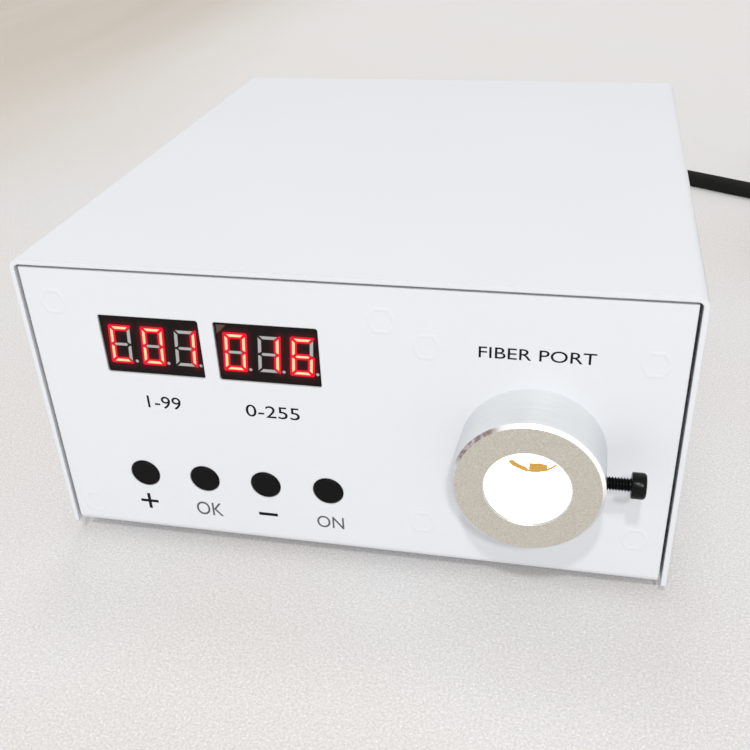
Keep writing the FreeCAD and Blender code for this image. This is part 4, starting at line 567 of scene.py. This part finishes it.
def dress_nodes(finishes):
    slots = {part["node"]: part["material_slot"] for part in frame["record"]["subparts"]}
    for name, node in nodes.items():
        paint(node, finishes[slots[name]])


# Modelling helpers
def fresh(name, add, **settings):
    """A new primitive, alone selected and in edit mode."""
    bpy.ops.object.select_all(action="DESELECT")
    add(**settings)
    piece = bpy.context.object
    piece.name = name
    piece.data.name = name
    bpy.ops.object.mode_set(mode="EDIT")
    return piece


def cylinder(name, vertices, radius, depth, location, rotation=(0, 0, 0)):
    return fresh(name, bpy.ops.mesh.primitive_cylinder_add, vertices=vertices, radius=radius,
                 depth=depth, location=location, rotation=rotation)


def block(name, sides, location, rotation=(0, 0, 0)):
    return fresh(name, bpy.ops.mesh.primitive_cube_add, size=1, location=location,
                 rotation=rotation, scale=sides)


def copy_of(source):
    copy = source.copy()
    copy.data = source.data.copy()
    bpy.context.scene.collection.objects.link(copy)
    return copy


def pick(piece, wanted, kind="faces"):
    """In edit mode, selects the faces or edges on which wanted(place) is true of every corner."""
    modes = {"faces": "FACE", "edges": "EDGE"}
    bpy.ops.mesh.select_mode(type="VERT")
    bpy.ops.mesh.select_all(action="DESELECT")
    bpy.ops.mesh.select_mode(type=modes[kind])
    mesh = bmesh.from_edit_mesh(piece.data)
    for element in getattr(mesh, kind):
        element.select_set(all(wanted(vert.co) for vert in element.verts))
    mesh.select_flush_mode()
    bmesh.update_edit_mesh(piece.data)


def settle(piece, finish):
    """Back to object mode, with outward faces, the place in the mesh and one finish."""
    bpy.ops.mesh.select_all(action="SELECT")
    bpy.ops.mesh.normals_make_consistent(inside=False)
    bpy.ops.object.mode_set(mode="OBJECT")
    alone(piece)
    bpy.ops.object.transform_apply(location=True, rotation=True, scale=True)
    paint(piece, finish)
    return piece


def alone(piece):
    bpy.ops.object.select_all(action="DESELECT")
    piece.select_set(True)
    bpy.context.view_layer.objects.active = piece


def modified(piece, kind, **settings):
    """A modifier with these settings, applied at once."""
    alone(piece)
    modifier = piece.modifiers.new(kind.lower(), kind)
    for name, value in settings.items():
        setattr(modifier, name, value)
    bpy.ops.object.modifier_apply(modifier=modifier.name)


def carved(piece, tool):
    """The piece less a tool, which is then gone."""
    modified(piece, "BOOLEAN", operation="DIFFERENCE", object=tool, solver="EXACT")
    bpy.data.objects.remove(tool)


def joined(first, *others):
    alone(first)
    for other in others:
        other.select_set(True)
    bpy.ops.object.join()
    return first


def smooth(piece, degrees=35):
    alone(piece)
    bpy.ops.object.shade_smooth_by_angle(angle=math.radians(degrees))


def belongs(piece, body, slot, *stands_for):
    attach(piece, body)
    if stands_for:
        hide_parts(*stands_for)


# Clamp screw, along x: a cut thread, and a head with rounded edges and a hexagon socket
THREAD_PITCH = 0.6 * MM
ROOT_DEPTH = 0.6 * THREAD_PITCH
RIDGE_DEPTH = 0.62 * THREAD_PITCH
RIDGE_RADIUS = 0.48 * THREAD_PITCH
RIDGE_STRETCH = 1.25
SCREW_RADIUS = 1.5 * MM
SCREW_HEAD = 3.0 * MM
END_BEVEL = 0.75 * MM
SEAT_BEVEL = 0.3 * MM
SOCKET_RADIUS = 1.44 * MM
SOCKET_LENGTH = 3.2 * MM
ACROSS_X = (0, math.pi / 2, 0)


def make_thread_ridge(start, end, y, z, finish):
    """Crests as far apart as in the photo: a four-sided section, stood up and wound round the axis."""
    foot = (start + THREAD_PITCH, y, z)
    ridge = fresh("clamp_thread", bpy.ops.mesh.primitive_circle_add, vertices=4,
                  radius=RIDGE_RADIUS, fill_type="NGON", location=foot)
    bpy.ops.transform.rotate(value=math.pi / 2, orient_axis="X", center_override=foot)
    bpy.ops.transform.resize(value=(1, 1, RIDGE_STRETCH), center_override=foot)
    bpy.ops.transform.translate(value=(0, 0, SCREW_RADIUS - RIDGE_DEPTH))
    bpy.ops.object.mode_set(mode="OBJECT")
    turns = int((end - start) / THREAD_PITCH) - 1
    modified(ridge, "SCREW", axis="X", screw_offset=THREAD_PITCH, iterations=turns, steps=20,
             render_steps=20, use_merge_vertices=True)
    bpy.ops.object.mode_set(mode="EDIT")
    return settle(ridge, finish)


def make_clamp_screw(finish):
    low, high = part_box("clamp_screw")
    _, y, z = middle_of("clamp_screw")
    head_start = high[0] - SCREW_HEAD
    head_radius = (high[2] - low[2]) / 2
    core = cylinder("clamp_core", 32, SCREW_RADIUS - ROOT_DEPTH, head_start - low[0],
                    ((low[0] + head_start) / 2, y, z), ACROSS_X)
    settle(core, finish)
    ridge = make_thread_ridge(low[0], head_start, y, z, finish)
    head = cylinder("clamp_head", 72, head_radius, SCREW_HEAD,
                    (head_start + SCREW_HEAD / 2, y, z), ACROSS_X)
    pick(head, lambda place: place.z > 0, "edges")
    bpy.ops.mesh.bevel(offset=END_BEVEL, segments=6)
    pick(head, lambda place: place.z < -SCREW_HEAD * 0.4, "edges")
    bpy.ops.mesh.bevel(offset=SEAT_BEVEL, segments=3)
    settle(head, finish)
    socket = cylinder("clamp_socket", 6, SOCKET_RADIUS, SOCKET_LENGTH, (high[0], y, z), ACROSS_X)
    settle(socket, finish)
    carved(head, socket)
    screw = joined(head, core, ridge)
    screw.name = "clamp_screw_threaded"
    smooth(screw, 30)
    belongs(screw, "clamp", "black_oxide", "clamp_screw")


# Cover screws with cross recesses
COVER_SCREW_BEVEL = 0.7 * MM
COVER_SCREW_SHANK = 6 * MM
CROSS_WING = (2.9 * MM, 0.6 * MM, 1.9 * MM)


def make_cover_screws(finish):
    low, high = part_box("cover_screws")
    head_height = CASE_LOW[0] - low[0]
    head_radius = (high[2] - low[2]) / 2
    screw = cylinder("cover_screw", 40, head_radius, head_height, (0, 0, head_height / 2))
    pick(screw, lambda place: place.z > 0, "edges")
    bpy.ops.mesh.bevel(offset=COVER_SCREW_BEVEL, segments=5)
    settle(screw, finish)
    for turn in (0, math.pi / 2):
        wing = block("cross_wing", CROSS_WING, (0, 0, head_height), (0, 0, turn))
        settle(wing, finish)
        carved(screw, wing)
    shank = cylinder("cover_shank", 24, SCREW_RADIUS, COVER_SCREW_SHANK,
                     (0, 0, -COVER_SCREW_SHANK / 2))
    settle(shank, finish)
    screw = joined(screw, shank)
    smooth(screw)
    z = (low[2] + high[2]) / 2
    copies = []
    for side in (-1, 1):
        for y in (low[1] + head_radius, high[1] - head_radius):
            copy = copy_of(screw)
            copy.location = (side * CASE_HIGH[0], y, z)
            copy.rotation_euler = (0, side * math.pi / 2, 0)
            copies.append(copy)
    bpy.data.objects.remove(screw)
    screws = joined(*copies)
    bpy.ops.object.transform_apply(location=True, rotation=True, scale=True)
    screws.name = "cover_screws_crossed"
    belongs(screws, "case", "zinc_steel", "cover_screws")


# Displays: smoked faces that glow round the lit segments
SPOT_GAP = 0.2 * MM
FACE_SETBACK = 0.03 * MM
FACE_CELL = 0.25 * MM
BEYOND_GLOW = 9.0
LIT_EDGE = 0.30 * MM
DARK_EDGE = 0.24 * MM


def front_of(node):
    """A plane just behind the node's front, to tell its front corners from the others."""
    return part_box(node)[0][1] + 0.01 * MM


def lit_spots():
    """Points close together on the outlines of the triangles in the lit segments' faces."""
    mesh = nodes["display_lit_segments"].data
    front = front_of("display_lit_segments")
    spots = []
    for triangle in mesh.polygons:
        corners = [mesh.vertices[i].co for i in triangle.vertices]
        if all(corner.y < front for corner in corners):
            for a, b in ((0, 1), (1, 2), (2, 0)):
                steps = max(1, int((corners[a] - corners[b]).length / SPOT_GAP))
                spots += [corners[a].lerp(corners[b], i / steps) for i in range(steps + 1)]
    return spots


def make_display(side, finish, lights):
    """A module with a grid on its face, whose points carry the distance to the nearest light."""
    low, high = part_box(f"display_{side}")
    face_y = low[1] + FACE_SETBACK
    width, height = high[0] - low[0], high[2] - low[2]
    centre = ((low[0] + high[0]) / 2, face_y, (low[2] + high[2]) / 2)
    body = fresh(f"display_{side}_module", bpy.ops.mesh.primitive_grid_add,
                 x_subdivisions=round(width / FACE_CELL), y_subdivisions=round(height / FACE_CELL),
                 size=1, location=centre, rotation=(math.pi / 2, 0, 0))
    bpy.ops.transform.resize(value=(width, 1, height), center_override=centre)
    bpy.ops.mesh.select_mode(type="EDGE")
    bpy.ops.mesh.select_all(action="SELECT")
    bpy.ops.mesh.region_to_loop()
    bpy.ops.mesh.extrude_region_move(TRANSFORM_OT_translate={"value": (0, high[1] - face_y, 0)})
    bpy.ops.mesh.edge_face_add()
    settle(body, finish)
    glow = body.data.attributes.new("glow", "FLOAT", "POINT")
    for vertex in body.data.vertices:
        _, _, distance = lights.find(vertex.co)
        on_face = vertex.co.y < face_y + FACE_CELL
        glow.data[vertex.index].value = distance / MM if on_face else BEYOND_GLOW
    belongs(body, "case", "display_face", f"display_{side}")


def make_segments(kind, finish, edge):
    """The lit or the dark segments, with a core inside an edge of this width."""
    node = f"display_{kind}_segments"
    front = front_of(node)
    piece = copy_of(nodes[node])
    piece.parent = None
    piece.name = f"{kind}_segments"
    alone(piece)
    bpy.ops.object.mode_set(mode="EDIT")
    bpy.ops.mesh.select_all(action="SELECT")
    bpy.ops.mesh.remove_doubles(threshold=0.01 * MM)
    bpy.ops.mesh.dissolve_limited(angle_limit=math.radians(2))
    pick(piece, lambda place: place.y < front)
    bpy.ops.mesh.inset(thickness=edge, use_individual=True)
    bpy.ops.object.mode_set(mode="OBJECT")
    inner = {i for polygon in piece.data.polygons if polygon.select for i in polygon.vertices}
    core = piece.data.attributes.new("core", "FLOAT", "POINT")
    for vertex in piece.data.vertices:
        core.data[vertex.index].value = 1.0 if vertex.index in inner else 0.0
    paint(piece, finish)
    belongs(piece, "case", f"segment_{kind}", node)


def make_displays(face_finish, lit_finish, dark_finish):
    spots = lit_spots()
    lights = KDTree(len(spots))
    for i, spot in enumerate(spots):
        lights.insert(spot, i)
    lights.balance()
    make_display("left", face_finish, lights)
    make_display("right", face_finish, lights)
    make_segments("lit", lit_finish, LIT_EDGE)
    make_segments("dark", dark_finish, DARK_EDGE)


# Print on the panel, in millimetres
CAPTIONS = [
    ("1-99", -42.8, 37.8, 3.4, 8.2),
    ("0-255", -16.3, 37.65, 3.3, 12.6),
    ("OK", -35.5, 7.95, 4.1, 6.8),
    ("ON", -4.9, 7.75, 3.6, 6.6),
    ("FIBER PORT", 41.2, 56.75, 2.7, 23.6),
]
FADED_CAPTIONS = ("OK", "ON")
SIGNS = [
    ("plus_sign", -51.05, 8.75, [(4.6, 0.8), (0.8, 4.6)]),
    ("minus_sign", -20.4, 8.4, [(4.7, 0.85)]),
]
PRINT_HEIGHT = 0.02 * MM
STROKE_GAIN = 0.01 * MM
STROKE_STEP = 0.1
CAPITAL_PER_SIZE = 0.73
FACING_FRONT = (math.pi / 2, 0, 0)


def on_panel(x, rise):
    """The middle of a print at this place, given in millimetres."""
    return x * MM, PANEL_FACE - PRINT_HEIGHT / 2, CASE_BOTTOM + rise * MM


def make_caption(words, x, rise, height, width, finish):
    """A caption centred at x, its middle this far above the case's bottom, this high and wide."""
    bpy.ops.object.select_all(action="DESELECT")
    bpy.ops.object.text_add()
    text = bpy.context.object
    text.data.body = words
    text.data.align_x = "CENTER"
    text.data.align_y = "CENTER"
    text.data.size = height * MM / CAPITAL_PER_SIZE
    text.data.extrude = PRINT_HEIGHT / 2
    text.data.offset = STROKE_GAIN
    text.data.resolution_u = 4
    bpy.ops.object.convert(target="MESH")
    text.scale.x = width * MM / text.dimensions.x
    text.location = on_panel(x, rise)
    text.rotation_euler = FACING_FRONT
    bpy.ops.object.transform_apply(location=True, rotation=True, scale=True)
    letters = (letter if letter.isalnum() else "_" for letter in words.lower())
    text.name = "caption_" + "".join(letters)
    paint(text, finish)
    belongs(text, "case", "black_plastic")


def make_sign(name, x, rise, strokes, finish):
    """A sign from strokes of a width and height, each thicker than the last, so no faces coincide."""
    bars = []
    for i, (width, height) in enumerate(strokes):
        sides = (width * MM, PRINT_HEIGHT * (1 + STROKE_STEP * i), height * MM)
        bars.append(settle(block(f"{name}_stroke", sides, on_panel(x, rise)), finish))
    sign = joined(*bars)
    sign.name = name
    belongs(sign, "case", "black_plastic")


def make_print(finish, faded):
    for caption in CAPTIONS:
        make_caption(*caption, faded if caption[0] in FADED_CAPTIONS else finish)
    for sign in SIGNS:
        make_sign(*sign, finish)


# White marks on the power rocker
MARKS_REACH = 0.28
ON_BAR = (0.45 * MM, 2.2 * MM, 0.08 * MM)
OFF_RING = {"major_radius": 0.95 * MM, "minor_radius": 0.2 * MM,
            "major_segments": 40, "minor_segments": 8}


def make_rocker_marks(finish):
    """A bar on the end pressed in and a ring on the raised end, flat on the rocker's slopes."""
    low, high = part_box("rocker")
    x, _, z = middle_of("rocker")
    reach = (high[2] - low[2]) * MARKS_REACH
    slopes = []
    for rise in (-reach, reach):
        behind = (x, high[1] + 10 * MM, z + rise)
        _, spot, normal, _ = nodes["rocker"].ray_cast(behind, (0, -1, 0))
        slopes.append((spot, normal.to_track_quat("Z", "Y").to_euler()))
    pressed, raised = sorted(slopes, key=lambda slope: slope[0].y)
    bar = block("rocker_on_bar", ON_BAR, *pressed)
    settle(bar, finish)
    ring = fresh("rocker_off_ring", bpy.ops.mesh.primitive_torus_add, **OFF_RING,
                 location=raised[0], rotation=raised[1])
    settle(ring, finish)
    smooth(ring)
    for mark in (bar, ring):
        belongs(mark, "power_rocker", "white_plastic")


# Floor: a pale mat with a fine sparkle and tan at its far left, made paler towards the rear by painted
# light
FLOOR_SIZE = 8.0
FLOOR_CLOUD = 90 * MM


def make_floor():
    bpy.ops.object.select_all(action="DESELECT")
    bpy.ops.mesh.primitive_plane_add(size=FLOOR_SIZE, location=(0, 0, 0))
    floor = bpy.context.object
    floor.name = "floor"
    finish = Finish("pale_floor", Roughness=0.7)
    x, y, _ = finish.axes()
    cloud = finish.noise(FLOOR_CLOUD).above(0.5, 0.4)
    grain = finish.noise(0.6 * MM, detail=3.0, roughness=0.7)
    coarse = grain.above(0.5, 0.45)
    sparkle = finish.noise(0.5 * MM, detail=1.0).above(0.66, 0.10)
    streaks = finish.noise(FLOOR_CLOUD, stretch=(1, 0.12, 1)) * 0.8 + 0.5
    # Painted light: the floor's colour grows paler towards the rear, in place of light falling there
    painted_light_rear = y.above(0.35, 0.9) * 0.5
    tan_corner = y.above(0.12, 0.3) * x.below(-0.27, 0.24) * streaks
    warm = finish.mix(coarse, (0.625, 0.595, 0.575), (0.80, 0.78, 0.765))
    cool = finish.mix(coarse, (0.63, 0.62, 0.62), (0.80, 0.80, 0.80))
    ground = finish.mix(cloud, warm, cool)
    ground = finish.mix(painted_light_rear, ground, (0.92, 0.90, 0.88))
    ground = finish.mix(tan_corner, ground, (0.60, 0.54, 0.46))
    finish.set(Base_Color=finish.mix(sparkle * 0.7, ground, (0.95, 0.94, 0.93)))
    finish.relief(grain, 0.12 * MM)
    paint(floor, finish.material)


# Lamps: name, place, aim, diameter and watts
LAMPS = [
    ("rear", (-0.2, 1.3, 3.1), (0, 0, 0), 0.9, 11.0),
    ("upper", (0.0, -2.2, 3.0), (0, 0, 0), 0.2, 35.0),
    ("key", (0.75, -3.05, 2.65), (0, 0, 0.03), 0.3, 49.0),
]
ROOM_COLOUR = (1.0, 0.99, 0.98, 1.0)
ROOM_STRENGTH = 0.60


def make_light(name, spot, aim, diameter, power):
    lamp = bpy.data.lights.new(name, "AREA")
    lamp.shape = "DISK"
    lamp.size = diameter
    lamp.energy = power
    holder = bpy.data.objects.new(name, lamp)
    bpy.context.scene.collection.objects.link(holder)
    holder.location = spot
    holder.rotation_euler = (Vector(spot) - Vector(aim)).to_track_quat("Z", "Y").to_euler()


def make_studio():
    bpy.context.scene.view_settings.view_transform = "Standard"
    world = bpy.data.worlds.new("soft_room")
    bpy.context.scene.world = world
    world.use_nodes = True
    background = world.node_tree.nodes["Background"]
    background.inputs["Color"].default_value = ROOM_COLOUR
    background.inputs["Strength"].default_value = ROOM_STRENGTH
    for lamp in LAMPS:
        make_light(*lamp)


make_camera()
finishes = make_finishes()
dress_nodes(finishes)
make_cord(finishes["black_rubber"])
make_clamp_screw(finishes["black_oxide"])
make_cover_screws(finishes["zinc_steel"])
make_displays(finishes["display_face"], finishes["segment_lit"], finishes["segment_dark"])
ink = plain_finish("caption_ink", (0.006, 0.007, 0.009), 0.6, Specular_IOR_Level=0.1)
faded_ink = plain_finish("faded_ink", (0.11, 0.12, 0.12), 0.6, Specular_IOR_Level=0.1)
make_print(ink, faded_ink)
make_rocker_marks(plain_finish("mark_white", (0.78, 0.78, 0.76), 0.5))
make_floor()
make_studio()
